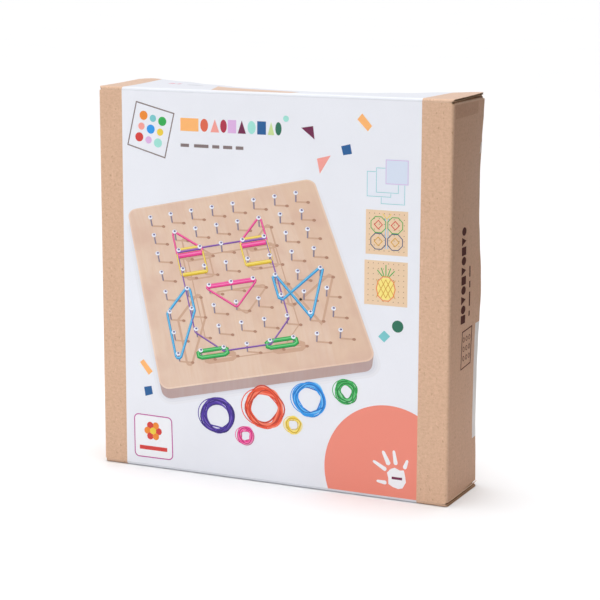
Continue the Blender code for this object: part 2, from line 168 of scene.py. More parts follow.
class Nodes:
    """A node tree under construction."""

    def __init__(self, tree):
        self.tree = tree

    def add(self, kind, inputs=None, **settings):
        node = self.tree.nodes.new(kind)
        for key, value in settings.items():
            setattr(node, key, value)
        for key, value in (inputs or {}).items():
            if isinstance(value, bpy.types.NodeSocket):
                self.tree.links.new(value, node.inputs[key])
            else:
                node.inputs[key].default_value = value
        return node

    def between(self, value, low, high, smallest=0.0, largest=1.0):
        """Value mapped from low..high onto smallest..largest, and held there."""
        inputs = {"Value": value, "From Min": low, "From Max": high, "To Min": smallest, "To Max": largest}
        return self.add("ShaderNodeMapRange", inputs, clamp=True).outputs[0]

    def maths(self, operation, first, second=0.0):
        return self.add("ShaderNodeMath", {0: first, 1: second}, operation=operation).outputs[0]


class Finish(Nodes):
    """A material under construction, in metres across and along a sheet, or in the object's own metres."""

    def __init__(self, name, base, roughness, specular=0.4, metallic=0.0, on_sheet=True):
        self.material = bpy.data.materials.new(name)
        self.material.use_nodes = True
        super().__init__(self.material.node_tree)
        self.shader = self.tree.nodes["Principled BSDF"]
        self.shader.inputs["Base Color"].default_value = base
        self.shader.inputs["Roughness"].default_value = roughness
        self.shader.inputs["Specular IOR Level"].default_value = specular
        self.shader.inputs["Metallic"].default_value = metallic
        self.tone = base
        if on_sheet:
            self.where = self.add("ShaderNodeUVMap", uv_map="sheet").outputs[0]
        else:
            self.where = self.add("ShaderNodeTexCoord").outputs["Object"]

    def noise(self, scale, detail=2.0, roughness=0.5, distortion=0.0, stretch=None, offset=(0, 0, 0)):
        vector = self.where
        if stretch:
            inputs = {"Vector": vector, "Scale": stretch, "Location": offset}
            vector = self.add("ShaderNodeMapping", inputs).outputs[0]
        inputs = {"Vector": vector, "Scale": scale, "Detail": detail}
        inputs.update({"Roughness": roughness, "Distortion": distortion})
        return self.add("ShaderNodeTexNoise", inputs).outputs["Fac"]

    def across(self):
        return self.add("ShaderNodeSeparateXYZ", {0: self.where}).outputs[0]

    def staves(self, across, width):
        """A random value for each stave of a width."""
        stripe = self.maths("FLOOR", self.maths("DIVIDE", across, width))
        return self.add("ShaderNodeTexWhiteNoise", {"W": stripe}, noise_dimensions="1D").outputs["Value"]

    def tint(self, value, low, high, most, layer):
        """Lays a colour over the tone as a value runs from low to high, up to a largest share."""
        inputs = {0: self.between(value, low, high, 0.0, most), 6: self.tone, 7: layer}
        self.tone = self.add("ShaderNodeMix", inputs, data_type="RGBA", blend_type="MIX").outputs[2]
        self.tree.links.new(self.tone, self.shader.inputs["Base Color"])

    def gloss(self, value, low, high, smooth, rough):
        self.tree.links.new(self.between(value, low, high, smooth, rough), self.shader.inputs["Roughness"])

    def bump(self, height, strength, distance):
        inputs = {"Height": height, "Strength": strength, "Distance": distance}
        self.tree.links.new(self.add("ShaderNodeBump", inputs).outputs[0], self.shader.inputs["Normal"])


def kraft_paper(name, base, fleck=1.0, roughness=0.52):
    """Brown kraft liner: long fibres, dark and pale flecks and a slow cloudiness."""
    paper = Finish(name, base, roughness, 0.5)
    cloud = paper.noise(24, 3, 0.6)
    fibres = paper.noise(1500, 3, 0.6, stretch=(1, 0.28, 1))
    streaks = paper.noise(420, 2, 0.5, stretch=(1, 0.07, 1), offset=(0.3, 0, 0))
    dark = paper.noise(560, 1.5, 0.4, stretch=(1, 0.55, 1), offset=(0.71, 0.2, 0))
    pale = paper.noise(480, 1.5, 0.4, stretch=(1, 0.4, 1), offset=(0.13, 0.5, 0))
    speckle = paper.noise(620, 4, 0.7, 0.6, stretch=(0.6, 1, 1), offset=(0.4, 0.9, 0))
    deep, light = scaled(base, 0.74, 0.66, 0.60), scaled(base, 1.13, 1.16, 1.2)
    paper.tint(cloud, 0.3, 0.7, 0.32, scaled(base, 0.93, 0.90, 0.87))
    paper.tint(fibres, 0.35, 0.75, 0.55 * fleck, light)
    paper.tint(speckle, 0.46, 0.68, 0.42 * fleck, deep)
    paper.tint(speckle, 0.46, 0.30, 0.50 * fleck, light)
    paper.tint(streaks, 0.52, 0.78, 0.35 * fleck, light)
    paper.tint(pale, 0.66, 0.74, 0.75 * fleck, light)
    paper.tint(dark, 0.66, 0.76, 0.85 * fleck, deep)
    paper.gloss(fibres, 0.2, 0.8, roughness - 0.06, roughness + 0.1)
    paper.bump(paper.maths("ADD", fibres, cloud), 0.22, 0.12 * MM)
    return paper.material


def coated_print(name, base, roughness=0.42):
    """Smooth printed coating over the liner, which still shows a trace of its fibres."""
    coat = Finish(name, base, roughness, 0.45)
    fibres = coat.noise(900, 3, 0.6, stretch=(1, 0.4, 1))
    cloud = coat.noise(18, 2, 0.5)
    coat.tint(cloud, 0.3, 0.7, 1.0, scaled(base, 0.965))
    coat.tint(fibres, 0.45, 0.8, 0.35, scaled(base, 0.95))
    coat.gloss(fibres, 0.2, 0.8, roughness - 0.05, roughness + 0.06)
    coat.bump(coat.maths("ADD", fibres, coat.maths("MULTIPLY", cloud, 3.0)), 0.10, 0.10 * MM)
    return coat.material


carton_finishes = {
    "kraft": kraft_paper("kraft_outside", colour(216, 177, 147)),
    # The side walls take a darker, redder copy of the outside kraft: painted shade.
    "kraft_side_painted_shade": kraft_paper("kraft_side_walls_painted_shade", colour(206, 158, 124)),
    # The closing panels, at both ends, take darker, greyer copies of the kraft and the white print: painted
    # shade.
    "kraft_top": kraft_paper("kraft_closing_panels_painted_shade", colour(200, 168, 146)),
    "white_top": coated_print("white_closing_panels_painted_shade", colour(210, 212, 220)),
    # The long folds take copies between the front's and the closing panels' finishes: painted shade on the
    # folds.
    "kraft_fold": kraft_paper("kraft_long_folds", colour(208, 172, 145)),
    "white_fold": coated_print("white_long_folds", colour(222, 224, 231)),
    "white": coated_print("white_print", colour(238, 240, 247)),
    "inside": kraft_paper("kraft_inside", colour(196, 158, 124), 0.8, 0.72),
    "raw": kraft_paper("kraft_cut_edge", colour(206, 172, 140), 0.6, 0.8),
    "flute": kraft_paper("kraft_flutes", colour(168, 130, 98), 0.5, 0.85),
}


# ---------------------------------------------------------------- sheets of corrugated board


def towards(angle):
    return Vector((math.cos(angle), math.sin(angle)))


class Spine:
    """The outer face of a folded sheet seen edge-on: straight runs and arcs. Its outside is on the left."""

    def __init__(self, start, heading, moves):
        self.start, self.heading, self.moves = Vector(start), heading, moves

    def at(self, distance, depth=0.0):
        """The point at a distance along the sheet and a depth into it."""
        point, heading, left = self.start.copy(), self.heading, distance
        for index, (length, turn) in enumerate(self.moves):
            last = index == len(self.moves) - 1
            step = left if last else min(left, length)
            if turn == 0:
                point += step * towards(heading)
            else:
                angle, radius = turn * step / length, length / turn
                point += radius * (self.outwards(heading) - self.outwards(heading + angle))
                heading += angle
            left -= step
            if left <= 0:
                break
        return point - self.outwards(heading) * depth

    @staticmethod
    def outwards(heading):
        return Vector((-math.sin(heading), math.cos(heading)))

    def reach(self, count):
        """The distance to the end of the first moves."""
        return sum(length for length, _ in self.moves[:count])


class MeshBuilder:
    """Collects closed solids with a material slot for each face and sheet coordinates for each point."""

    def __init__(self, finishes):
        self.finishes, self.names = finishes, list(finishes)
        self.points, self.marks, self.faces, self.slots = [], [], [], []
        self.shapes = 0

    def face(self, corners, slot):
        if len(set(corners)) > 2:
            self.faces.append(corners)
            self.slots.append(self.names.index(slot))

    def point(self, place, mark):
        self.points.append(tuple(place))
        self.marks.append(mark)
        return len(self.points) - 1

    def join(self, ring, after, slot):
        """Faces between two rings of points, or between a ring and a single point."""
        for k, corner in enumerate(ring):
            m = (k + 1) % len(ring)
            far = (after[0],) if len(after) == 1 else (after[m], after[k])
            self.face((corner, ring[m], *far), slot)

    def next_lift(self, rank):
        """How high the next ink shape of a rank lies."""
        self.shapes += 1
        return rank * INK_STEP + INK_HAIR * (self.shapes % INK_HAIRS)

    def build(self, name, smooth=30):
        mesh = bpy.data.meshes.new(name)
        mesh.from_pydata(self.points, [], self.faces)
        used = sorted(set(self.slots))
        for slot in used:
            mesh.materials.append(self.finishes[self.names[slot]])
        mesh.polygons.foreach_set("material_index", [used.index(slot) for slot in self.slots])
        layer = mesh.uv_layers.new(name="sheet")
        for loop in mesh.loops:
            layer.data[loop.index].uv = self.marks[loop.vertex_index]
        form = bmesh.new()
        form.from_mesh(mesh)
        bmesh.ops.recalc_face_normals(form, faces=form.faces)
        form.to_mesh(mesh)
        form.free()
        mesh.shade_smooth()
        mesh.set_sharp_from_angle(angle=math.radians(smooth))
        obj = bpy.data.objects.new(name, mesh)
        bpy.context.scene.collection.objects.link(obj)
        return obj

    def settle(self, name, slot, body, *nodes, smooth=30):
        """Builds a piece on its body and in place of its CAD nodes; the slot it is given is not used."""
        piece = self.build(name, smooth)
        if nodes:
            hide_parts(*nodes)
        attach(piece, body)

    def fold(self, name, before, after, start, end):
        """Builds a piece of the carton where one body meets the next; the two bodies it is given are not
        used.
        """
        piece = self.build(name, 60)
        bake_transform(piece)
        return piece


def span(outline, a):
    """The lowest and highest point of a convex outline above a."""
    hits = []
    for (a0, b0), (a1, b1) in zip(outline, outline[1:] + outline[:1]):
        if min(a0, a1) - 1e-9 <= a <= max(a0, a1) + 1e-9:
            if abs(a1 - a0) < 1e-9:
                hits += [b0, b1]
            else:
                hits.append(b0 + (b1 - b0) * (a - a0) / (a1 - a0))
    return min(hits), max(hits)


def four_corners(left, right, low, high):
    return [(left, low), (right, low), (right, high), (left, high)]


def rounded(corners, radii, steps=5):
    """An outline with each corner turned into an arc of its radius."""
    points = []
    for index, (corner, radius) in enumerate(zip(corners, radii)):
        corner = Vector(corner)
        if radius == 0:
            points.append(tuple(corner))
            continue
        before = (Vector(corners[index - 1]) - corner).normalized()
        after = (Vector(corners[(index + 1) % len(corners)]) - corner).normalized()
        half = before.angle(after) / 2
        middle = corner + (before + after).normalized() * radius / math.sin(half)
        start = corner + before * radius / math.tan(half) - middle
        end = corner + after * radius / math.tan(half) - middle
        turn = -start.angle_signed(end)
        first = math.atan2(start.y, start.x)
        for k in range(steps + 1):
            angle = first + turn * k / steps
            points.append(tuple(middle + radius * towards(angle)))
    return points


def column_places(outline, spacing, extra=()):
    """Where a sheet's columns stand: at the outline's corners, at the extra places and evenly between."""
    low, high = min(a for a, _ in outline), max(a for a, _ in outline)
    count = max(1, math.ceil((high - low) / spacing))
    places = [low + (high - low) * k / count for k in range(count + 1)]
    fixed = [a for a, _ in outline] + [a for a in extra if low < a < high]
    kept = [a for a in places[1:-1] if min(abs(a - f) for f in fixed) > spacing * 0.12]
    result = []
    for a in sorted(kept + fixed):
        if not result or a - result[-1] > 1e-7:
            result.append(a)
    return result


def layer(mesh, outline, columns, rows, depths, place, skin, edge, back=None):
    """A closed sheet over a convex outline, between two depths that may change across it."""
    grids = []
    for depth in depths:
        grid = []
        for a in columns:
            low, high = span(outline, a)
            heights = [low + (high - low) * k / rows for k in range(rows + 1)]
            inward = depth(a) if callable(depth) else depth
            grid.append([mesh.point(place(a, b, inward), (a, b)) for b in heights])
        grids.append(grid)
    outer, inner = grids
    for i in range(len(columns) - 1):
        middle = (columns[i] + columns[i + 1]) / 2
        slot = skin(middle) if callable(skin) else skin
        for k in range(rows):
            mesh.face((outer[i][k], outer[i + 1][k], outer[i + 1][k + 1], outer[i][k + 1]), slot)
            mesh.face((inner[i][k], inner[i][k + 1], inner[i + 1][k + 1], inner[i + 1][k]), back or edge)
        for k in (0, rows):
            mesh.face((outer[i][k], inner[i][k], inner[i + 1][k], outer[i + 1][k]), edge)
    for i in (0, len(columns) - 1):
        for k in range(rows):
            mesh.face((outer[i][k], outer[i][k + 1], inner[i][k + 1], inner[i][k]), edge)


def clipped(outline, low, high):
    """The part of a convex outline between two places across it."""
    columns = [a for a in column_places(outline, 1.0) if low < a < high]
    columns = [max(low, min(a for a, _ in outline))] + columns + [min(high, max(a for a, _ in outline))]
    spans = [(a, *span(outline, a)) for a in columns]
    return [(a, b) for a, b, _ in spans] + [(a, b) for a, _, b in reversed(spans)]


def corrugated(
    mesh, outline, place, rows=1, spacing=8 * MM, skin="kraft", cores=None, extra=(), core_rows=None
):
    """Corrugated board: two liners, and the fluted sheet between them where a cut edge shows it."""
    columns = column_places(outline, spacing, extra)
    layer(mesh, outline, columns, rows, (0.0, LINER), place, skin, "raw")
    layer(mesh, outline, columns, rows, (BOARD - LINER, BOARD), place, "raw", "raw", "inside")
    middle = BOARD / 2

    def wave(a):
        return middle + FLUTE_SWING * math.sin(FULL_TURN * a / FLUTE_PITCH)

    half = FLUTE_SHEET / 2
    depths = (lambda a: wave(a) - half, lambda a: wave(a) + half)
    for core in cores if cores is not None else [outline]:
        fine = column_places(core, FLUTE_PITCH / FLUTE_STEPS)
        layer(mesh, core, fine, core_rows or rows, depths, place, "flute", "flute")


def in_band(x):
    return "white" if BAND_LEFT < x < BAND_RIGHT else "kraft"


# Picks the closing panels' darker finishes: painted shade.
def in_closing_band_painted_shade(x):
    return f"{in_band(x)}_top"


# Picks the long folds' darker finishes: painted shade.
def in_fold_band_painted_shade(x):
    return f"{in_band(x)}_fold"


# ---------------------------------------------------------------- the carton's sleeve

WALL_FRONT = 2 * (HALF_WIDTH - SIDE_FOLD)
WALL_SIDE = DEPTH - 2 * SIDE_FOLD
CORNER_ARC = SIDE_FOLD * math.pi / 2
perimeter = Spine(
    (HALF_WIDTH - SIDE_FOLD, FRONT),
    math.pi,
    [(WALL_FRONT, 0), (CORNER_ARC, -math.pi / 2), (WALL_SIDE, 0), (CORNER_ARC, -math.pi / 2)]
    + [(WALL_FRONT, 0), (CORNER_ARC, -math.pi / 2), (WALL_SIDE, 0), (CORNER_ARC, -math.pi / 2)],
)
SIDE_LOW, SIDE_HIGH = TOP - DUST_TOP + SIDE_FOLD, DUST_TOP - SIDE_FOLD
FRONT_LOW, FRONT_HIGH = LONG_FOLD, TOP - LONG_FOLD
BACK_EDGE = 0.7 * MM  # the back panel's cut edges stop short of the carton's full height
RISE_START = TOP - 30 * MM
BACK_CORNER = 3 * MM
CORE_STRIP = 12 * MM  # how far in from a cut edge the fluted sheet is made
SLEEVE_ROWS, FOLD_COLUMNS = 44, 7


def sleeve_place(a, b, depth):
    across = perimeter.at(a, depth)
    point = bowed(Vector((across.x, across.y, b)))
    if point.y > BACK - BOARD - SIDE_FOLD and b > RISE_START:
        share = (b - RISE_START) / (TOP - RISE_START)
        point.z += min(0.0, lid_rise(point.x)) * share**2
    return point


def sleeve():
    """The four walls with the folds between them, from the front's right end round by the left."""
    mesh = MeshBuilder(carton_finishes)
    ends = [perimeter.reach(k) for k in range(9)]
    front = four_corners(ends[0], ends[1], FRONT_LOW, FRONT_HIGH)
    start = HALF_WIDTH - SIDE_FOLD
    edges = (start - BAND_RIGHT, start - BAND_LEFT)
    corrugated(mesh, front, sleeve_place, 1, 30 * MM, lambda a: in_band(start - a), [], edges)
    for k in (2, 6):
        side = four_corners(ends[k], ends[k + 1], SIDE_LOW, SIDE_HIGH)
        # The side walls take the darker kraft copy: painted shade.
        corrugated(mesh, side, sleeve_place, SLEEVE_ROWS, 5 * MM, "kraft_side_painted_shade", [])
    low, high = BACK_EDGE, TOP - BACK_EDGE
    back = rounded(four_corners(ends[4], ends[5], low, high), [BACK_CORNER] * 4)
    strips = []
    for bottom, top in ((low, low + CORE_STRIP), (high - CORE_STRIP, high)):
        strips.append(four_corners(ends[4] + BACK_CORNER, ends[5] - BACK_CORNER, bottom, top))
    corrugated(mesh, back, sleeve_place, SLEEVE_ROWS, 7 * MM, "kraft", strips, core_rows=2)
    front_edge, side_edge = (FRONT_LOW, FRONT_HIGH), (SIDE_LOW, SIDE_HIGH)
    for k in (1, 3, 5, 7):
        near = front_edge if k == 1 else side_edge
        far = front_edge if k == 7 else side_edge
        fold = [(ends[k], near[0]), (ends[k + 1], far[0]), (ends[k + 1], far[1]), (ends[k], near[1])]
        corrugated(mesh, fold, sleeve_place, SLEEVE_ROWS, CORNER_ARC / FOLD_COLUMNS, "kraft", [])
    walls = ("front_panel", "back_panel", "left_side_panel", "right_side_panel")
    mesh.settle("carton_sleeve", "kraft", "carton", *walls, smooth=40)


def glue_flap():
    """The flap that joins the left side to the back, glued inside the back panel."""
    mesh = MeshBuilder(carton_finishes)
    low, high = GLUE_BOX
    taper = 18 * MM
    corners = [(low.x, low.z), (high.x, low.z + taper), (high.x, high.z - taper), (low.x, high.z)]

    def place(a, b, depth):
        return bowed(Vector((a, low.y + BOARD - depth, b)))

    corrugated(mesh, rounded(corners, [0, FLAP_CORNER, FLAP_CORNER, 0]), place, 40, 4 * MM, "kraft")
    mesh.settle("glue_flap_board", "kraft", "carton", "glue_flap")


# ---------------------------------------------------------------- closing panels, tuck flaps and dust flaps

AXIS_DROP = TOP - LID_AXIS_Z
LID_FLAT_END = LID_BACK + (-SIDE_FOLD + (AXIS_DROP - SIDE_FOLD) * math.sin(TUCK_LEAN)) / math.cos(TUCK_LEAN)
LID_RUN = LID_FLAT_END - (FRONT + LONG_FOLD)
TUCK_TURN = math.pi / 2 + TUCK_LEAN
closing = Spine(
    (FRONT, TOP - LONG_FOLD),
    math.pi / 2,
    [(LONG_FOLD * math.pi / 2, -math.pi / 2), (LID_RUN, 0), (SIDE_FOLD * TUCK_TURN, -TUCK_TURN), (1.0, 0)],
)
CREASE_END, LID_END, TUCK_START = (closing.reach(k) for k in (1, 2, 3))
TUCK_END = TUCK_START + (closing.at(TUCK_START).y - TUCK_BOX[0].z) / math.cos(TUCK_LEAN)


def risen(point, b):
    """Lifts or lowers a point of the lid with its warped back edge."""
    share = max(0.0, min(1.0, (b - CREASE_END) / (LID_END - CREASE_END)))
    return Vector((point.x, point.y, point.z + lid_rise(point.x) * share**1.6))


def flipped(point, end):
    """The same place at the carton's other end."""
    return point if end == "top" else Vector((point.x, point.y, TOP - point.z))


def closing_place(a, b, depth, end, warped=True):
    across = closing.at(b, depth)
    point = Vector((a, across.x, across.y))
    if end == "top" and warped:
        point = risen(point, b)
    return flipped(point, end)


CREASE_ROWS, PANEL_ROWS = 8, 14
PANEL_SPACING = 6 * MM


def closure(end, panel_body, tuck_body, panel_node, tuck_node):
    """A closing panel with its long crease, its tuck crease and its tuck flap."""

    def flat(a, b, depth):
        return closing_place(a, b, depth, end, warped=False)

    def shaped(a, b, depth):
        return closing_place(a, b, depth, end)

    edges = (BAND_LEFT, BAND_RIGHT)
    inner = HALF_WIDTH - SIDE_FOLD
    mesh = MeshBuilder(carton_finishes)
    outline = [(-inner, 0), (inner, 0), (HALF_WIDTH, CREASE_END), (-HALF_WIDTH, CREASE_END)]
    corrugated(mesh, outline, flat, CREASE_ROWS, 8 * MM, in_fold_band_painted_shade, [], edges)
    mesh.fold(f"{panel_body}_long_crease", "carton", panel_body, flat(0, 0, 0), flat(0, CREASE_END, 0))

    mesh = MeshBuilder(carton_finishes)
    outline = four_corners(-HALF_WIDTH, HALF_WIDTH, CREASE_END, LID_END)
    outline = rounded(outline, [0, 0, CUT_CORNER, CUT_CORNER])
    core_edge = HALF_WIDTH - 10 * MM
    cores = [clipped(outline, -HALF_WIDTH, -core_edge), clipped(outline, core_edge, HALF_WIDTH)]
    corrugated(mesh, outline, shaped, PANEL_ROWS, PANEL_SPACING, in_closing_band_painted_shade, cores, edges)
    mesh.settle(f"{panel_body}_board", "kraft", panel_body, panel_node)

    mesh = MeshBuilder(carton_finishes)
    half = HALF_WIDTH - TUCK_MARGIN
    outline = four_corners(-half, half, LID_END, TUCK_START)
    corrugated(mesh, outline, flat, CREASE_ROWS, PANEL_SPACING, "kraft")
    ends = flat(0, LID_END, 0), flat(0, TUCK_START, 0)
    crease = mesh.fold(f"{panel_body}_tuck_crease", panel_body, tuck_body, *ends)
    if end == "top":
        for vertex in crease.data.vertices:
            vertex.co = risen(vertex.co, LID_END)

    mesh = MeshBuilder(carton_finishes)
    outline = four_corners(-half, half, TUCK_START, TUCK_END)
    outline = rounded(outline, [0, 0, TUCK_CORNER, TUCK_CORNER], 8)
    corrugated(mesh, outline, shaped, 2, PANEL_SPACING, "kraft")
    mesh.settle(f"{tuck_body}_board", "kraft", tuck_body, tuck_node)


side_spine = Spine(
    (-HALF_WIDTH, DUST_TOP - SIDE_FOLD), math.pi / 2, [(SIDE_FOLD * math.pi / 2, -math.pi / 2), (1.0, 0)]
)
DUST_CREASE = side_spine.reach(1)
DUST_END = DUST_CREASE + DUST_BOX[1].x - DUST_BOX[0].x - SIDE_FOLD
DUST_TAPERS = (0.56, 0.10)  # how far the front and back edges run in for each metre of the flap


def dust_flap(end, side, body, node):
    """A dust flap, drooping a little at the top, and the crease that joins it to its side panel."""

    def flat(a, b, depth):
        across = side_spine.at(b, depth)
        shift = bowed(Vector((HALF_WIDTH, a, TOP))).x - HALF_WIDTH
        droop = FLAP_DROOP * max(0.0, (b - DUST_CREASE) / (DUST_END - DUST_CREASE)) if end == "top" else 0.0
        return flipped(Vector((-side * (across.x - shift), a, across.y - droop)), end)

    front, back = DUST_BOX[0].y, DUST_BOX[1].y
    mesh = MeshBuilder(carton_finishes)
    outline = [(FRONT + SIDE_FOLD, 0), (BACK - SIDE_FOLD, 0), (back, DUST_CREASE), (front, DUST_CREASE)]
    corrugated(mesh, outline, flat, CREASE_ROWS, 5 * MM, "kraft", [])
    mesh.fold(f"{body}_crease", "carton", body, flat(0, 0, 0), flat(0, DUST_CREASE, 0))

    mesh = MeshBuilder(carton_finishes)
    length = DUST_END - DUST_CREASE
    tip_front, tip_back = front + DUST_TAPERS[0] * length, back - DUST_TAPERS[1] * length
    corners = [(front, DUST_CREASE), (back, DUST_CREASE), (tip_back, DUST_END), (tip_front, DUST_END)]
    outline = rounded(corners, [0, 0, FLAP_CORNER, FLAP_CORNER])
    corrugated(mesh, outline, flat, 4, 5 * MM, "kraft")
    mesh.settle(f"{body}_board", "kraft", body, node)


def carton():
    sleeve()
    glue_flap()
    closure("top", "lid", "lid_tuck", "lid_panel", "top_tuck_flap")
    closure("bottom", "base", "base_tuck", "bottom_panel", "bottom_tuck_flap")
    for end in ("top", "bottom"):
        for side, name in ((-1, "left"), (1, "right")):
            dust_flap(end, side, f"{end}_{name}_dust", f"{end}_{name}_dust_flap")


carton()

# ---------------------------------------------------------------- printing

INK_STEP = 0.02 * MM
INK_ROOT = 0.06 * MM
INK_HAIR = 0.001 * MM  # shapes of one rank still lie a hair apart
INK_HAIRS = 18
INK_COLOURS = {
    "light_orange": (255, 184, 110), "orange_red": (224, 100, 70), "salmon": (245, 160, 150),
    "crimson": (176, 36, 66), "lilac": (222, 178, 226), "maroon": (110, 20, 70),
    "mint": (160, 226, 214), "blue": (20, 90, 150), "light_green": (200, 222, 150),
    "dark_green": (30, 110, 84), "teal": (120, 200, 205), "coral": (240, 140, 121),
    "paper": (243, 244, 248), "outline": (128, 112, 112), "magenta": (186, 60, 150),
    "pale_blue": (216, 226, 243), "paler_blue": (231, 236, 246),
    "navy": (26, 62, 118), "ochre": (214, 160, 50),
    "green": (60, 170, 66), "orange": (240, 138, 40), "red": (214, 56, 50),
    "dot": (150, 110, 80), "pink_shade": (196, 30, 112), "pink": (238, 62, 148),
    "pink_light": (250, 128, 186), "yellow_shade": (206, 168, 38), "yellow": (240, 208, 62),
    "yellow_light": (250, 230, 130), "purple_shade": (88, 44, 134), "purple": (130, 74, 176),
    "purple_light": (168, 124, 206), "sky_shade": (24, 124, 184), "sky": (42, 165, 224),
    "sky_light": (124, 206, 240), "leaf_shade": (20, 122, 56), "leaf": (38, 172, 78),
    "leaf_light": (112, 208, 134), "violet_shade": (46, 24, 116), "violet": (72, 42, 158),
    "violet_light": (112, 84, 190), "flame_shade": (196, 56, 34), "flame": (234, 80, 46),
    "flame_light": (246, 128, 98), "azure_shade": (18, 112, 200), "azure": (32, 152, 234),
    "azure_light": (110, 196, 248), "shadow": (206, 167, 142), "shadow_end": (178, 132, 108),
    "steel": (150, 140, 150), "steel_dark": (82, 70, 134), "steel_light": (236, 238, 250),
    "ground_1": (233, 234, 240), "ground_2": (227, 228, 235), "ground_3": (219, 220, 228),
    "brown": (92, 54, 48), "lid_pink": (206, 140, 156), "lid_grey": (190, 190, 196),
}


def ink(name, red, green, blue, roughness=0.42, specular=0.45):
    """Plain printed ink, which shows a trace of the board's fibres in its gloss and surface."""
    printed = Finish(f"ink_{name}", colour(red, green, blue), roughness, specular)
    fibres = printed.noise(900, 3, 0.6, stretch=(1, 0.4, 1))
    printed.gloss(fibres, 0.2, 0.8, roughness - 0.06, roughness + 0.06)
    printed.bump(fibres, 0.10, 0.10 * MM)
    return printed.material


INKS = {name: ink(name, *value) for name, value in INK_COLOURS.items()}


def printed_wood(name, base, stave):
    """Printed wood: edge-glued staves with fine grain, in the units of the mesh's sheet coordinates."""
    wood = Finish(name, base, 0.42, 0.45)
    wobble = wood.maths("MULTIPLY", wood.noise(0.5, 1), 0.1)
    staves = wood.staves(wood.maths("ADD", wood.across(), wobble), stave)
    grain = wood.noise(2.2, 4, 0.6, 0.4, stretch=(3.2, 0.22, 1))
    fine = wood.noise(6.0, 3, 0.6, stretch=(9, 0.5, 1))
    warm, pale = scaled(base, 0.97, 0.90, 0.82), scaled(base, 1.03, 1.05, 1.08)
    wood.tone = pale
    wood.tint(staves, 0, 1, 0.55, warm)
    wood.tint(grain, 0.42, 0.7, 0.5, warm)
    wood.tint(wood.noise(0.55, 3, 0.55), 0.45, 0.68, 0.65, scaled(base, 0.90, 0.80, 0.80))
    wood.tint(fine, 0.55, 0.8, 0.35, scaled(base, 0.86))
    wood.bump(fine, 0.05, 0.05 * MM)
    return wood.material


def in_mm(*places):
    return [(u * MM, v * MM) for u, v in places]


def on_front(u, v, lift):
    return Vector((u, FRONT - lift, v))


def on_right(y, z, lift):
    point = bowed(Vector((HALF_WIDTH, y, z)))
    return point + Vector((lift + 2 * INK_STEP, 0, 0))


def on_back(x, z, lift):
    return sleeve_place(perimeter.reach(4) + (HALF_WIDTH - SIDE_FOLD) + x, z, -lift)


def on_lid(x, y, lift):
    return closing_place(x, CREASE_END + y - (FRONT + LONG_FOLD), -lift, "top")


def patch(mesh, outline, rank, slot, place=on_front, marks=None):
    """A closed patch of ink; a higher rank lies over a lower one."""
    marks = marks or outline
    high = mesh.next_lift(rank)
    tops = [mesh.point(place(u, v, high), mark) for (u, v), mark in zip(outline, marks)]
    roots = [mesh.point(place(u, v, -INK_ROOT), mark) for (u, v), mark in zip(outline, marks)]
    mesh.face(tuple(tops), slot)
    mesh.face(tuple(reversed(roots)), slot)
    mesh.join(roots, tops, slot)


def offset_line(points, reach, closed):
    """The line that runs beside another at a distance, with mitred corners."""
    count = len(points)
    places = [Vector(p) for p in points]
    result = []
    for k, place in enumerate(places):
        ways = []
        if k > 0 or closed:
            ways.append((place - places[k - 1]).normalized())
        if k < count - 1 or closed:
            ways.append((places[(k + 1) % count] - place).normalized())
        side = sum((Vector((-way.y, way.x)) for way in ways), Vector((0, 0))).normalized()
        stretch = max(0.5, side.dot(Vector((-ways[0].y, ways[0].x))))
        result.append(place + side * reach / stretch)
    return result


def stroke(mesh, points, width, rank, slot, closed=False, place=on_front):
    """A closed ribbon of ink along a line."""
    left, right = (offset_line(points, reach, closed) for reach in (width / 2, -width / 2))
    rings, high = [], mesh.next_lift(rank)
    for sides in zip(left, right):
        for lift in (high, -INK_ROOT):
            rings.append([mesh.point(place(*side, lift), side) for side in sides])
    count = len(points)
    for k in range(count if closed else count - 1):
        after = (k + 1) % count
        top, root = rings[2 * k : 2 * k + 2]
        next_top, next_root = rings[2 * after : 2 * after + 2]
        mesh.face((top[0], top[1], next_top[1], next_top[0]), slot)
        mesh.face((root[1], root[0], next_root[0], next_root[1]), slot)
        mesh.face((top[0], next_top[0], next_root[0], root[0]), slot)
        mesh.face((next_top[1], top[1], root[1], next_root[1]), slot)
    if not closed:
        mesh.face((rings[0][0], rings[1][0], rings[1][1], rings[0][1]), slot)
        mesh.face((rings[-2][1], rings[-1][1], rings[-1][0], rings[-2][0]), slot)


def disc(centre, radius, count=18, squeeze=1.0):
    angles = [FULL_TURN * k / count for k in range(count)]
    return [(centre[0] + radius * math.cos(t), centre[1] + squeeze * radius * math.sin(t)) for t in angles]


def arc(centre, radius, first, last, count):
    angles = [first + (last - first) * k / count for k in range(count + 1)]
    return [(centre[0] + radius * math.cos(t), centre[1] + radius * math.sin(t)) for t in angles]


def lens(start, end, width, count=10):
    """A long rounded stroke from one place to another, like the mark of a finger."""
    start, end = Vector(start), Vector(end)
    along = (end - start).normalized()
    side = Vector((-along.y, along.x)) * width / 2
    points = []
    for k in range(count + 1):
        turn = math.pi * (k / count - 0.5)
        points.append(end + along * math.cos(turn) * width / 2 - side * -math.sin(turn))
    for k in range(count + 1):
        turn = math.pi * (k / count - 0.5)
        points.append(start - along * math.cos(turn) * width / 2 - side * math.sin(turn) * 0.7)
    return [tuple(p) for p in points]


# ---------------------------------------------------------------- the pictured board

PITCHES = 8  # pins in a row, and rows
MIDDLE = (PITCHES - 1) / 2
# The pictured board's edges, corner, thickness, pins and their shadows, in pin pitches from its centre
EDGE_LEFT, EDGE_RIGHT, EDGE_TOP, EDGE_LOW = -4.563, 4.654, 4.634, -4.666
CORNER = 0.42
PICTURE_DEPTH = 0.727
PIN_TALL = 0.572
SHADOW_TIP = Vector((0.549, -0.136))
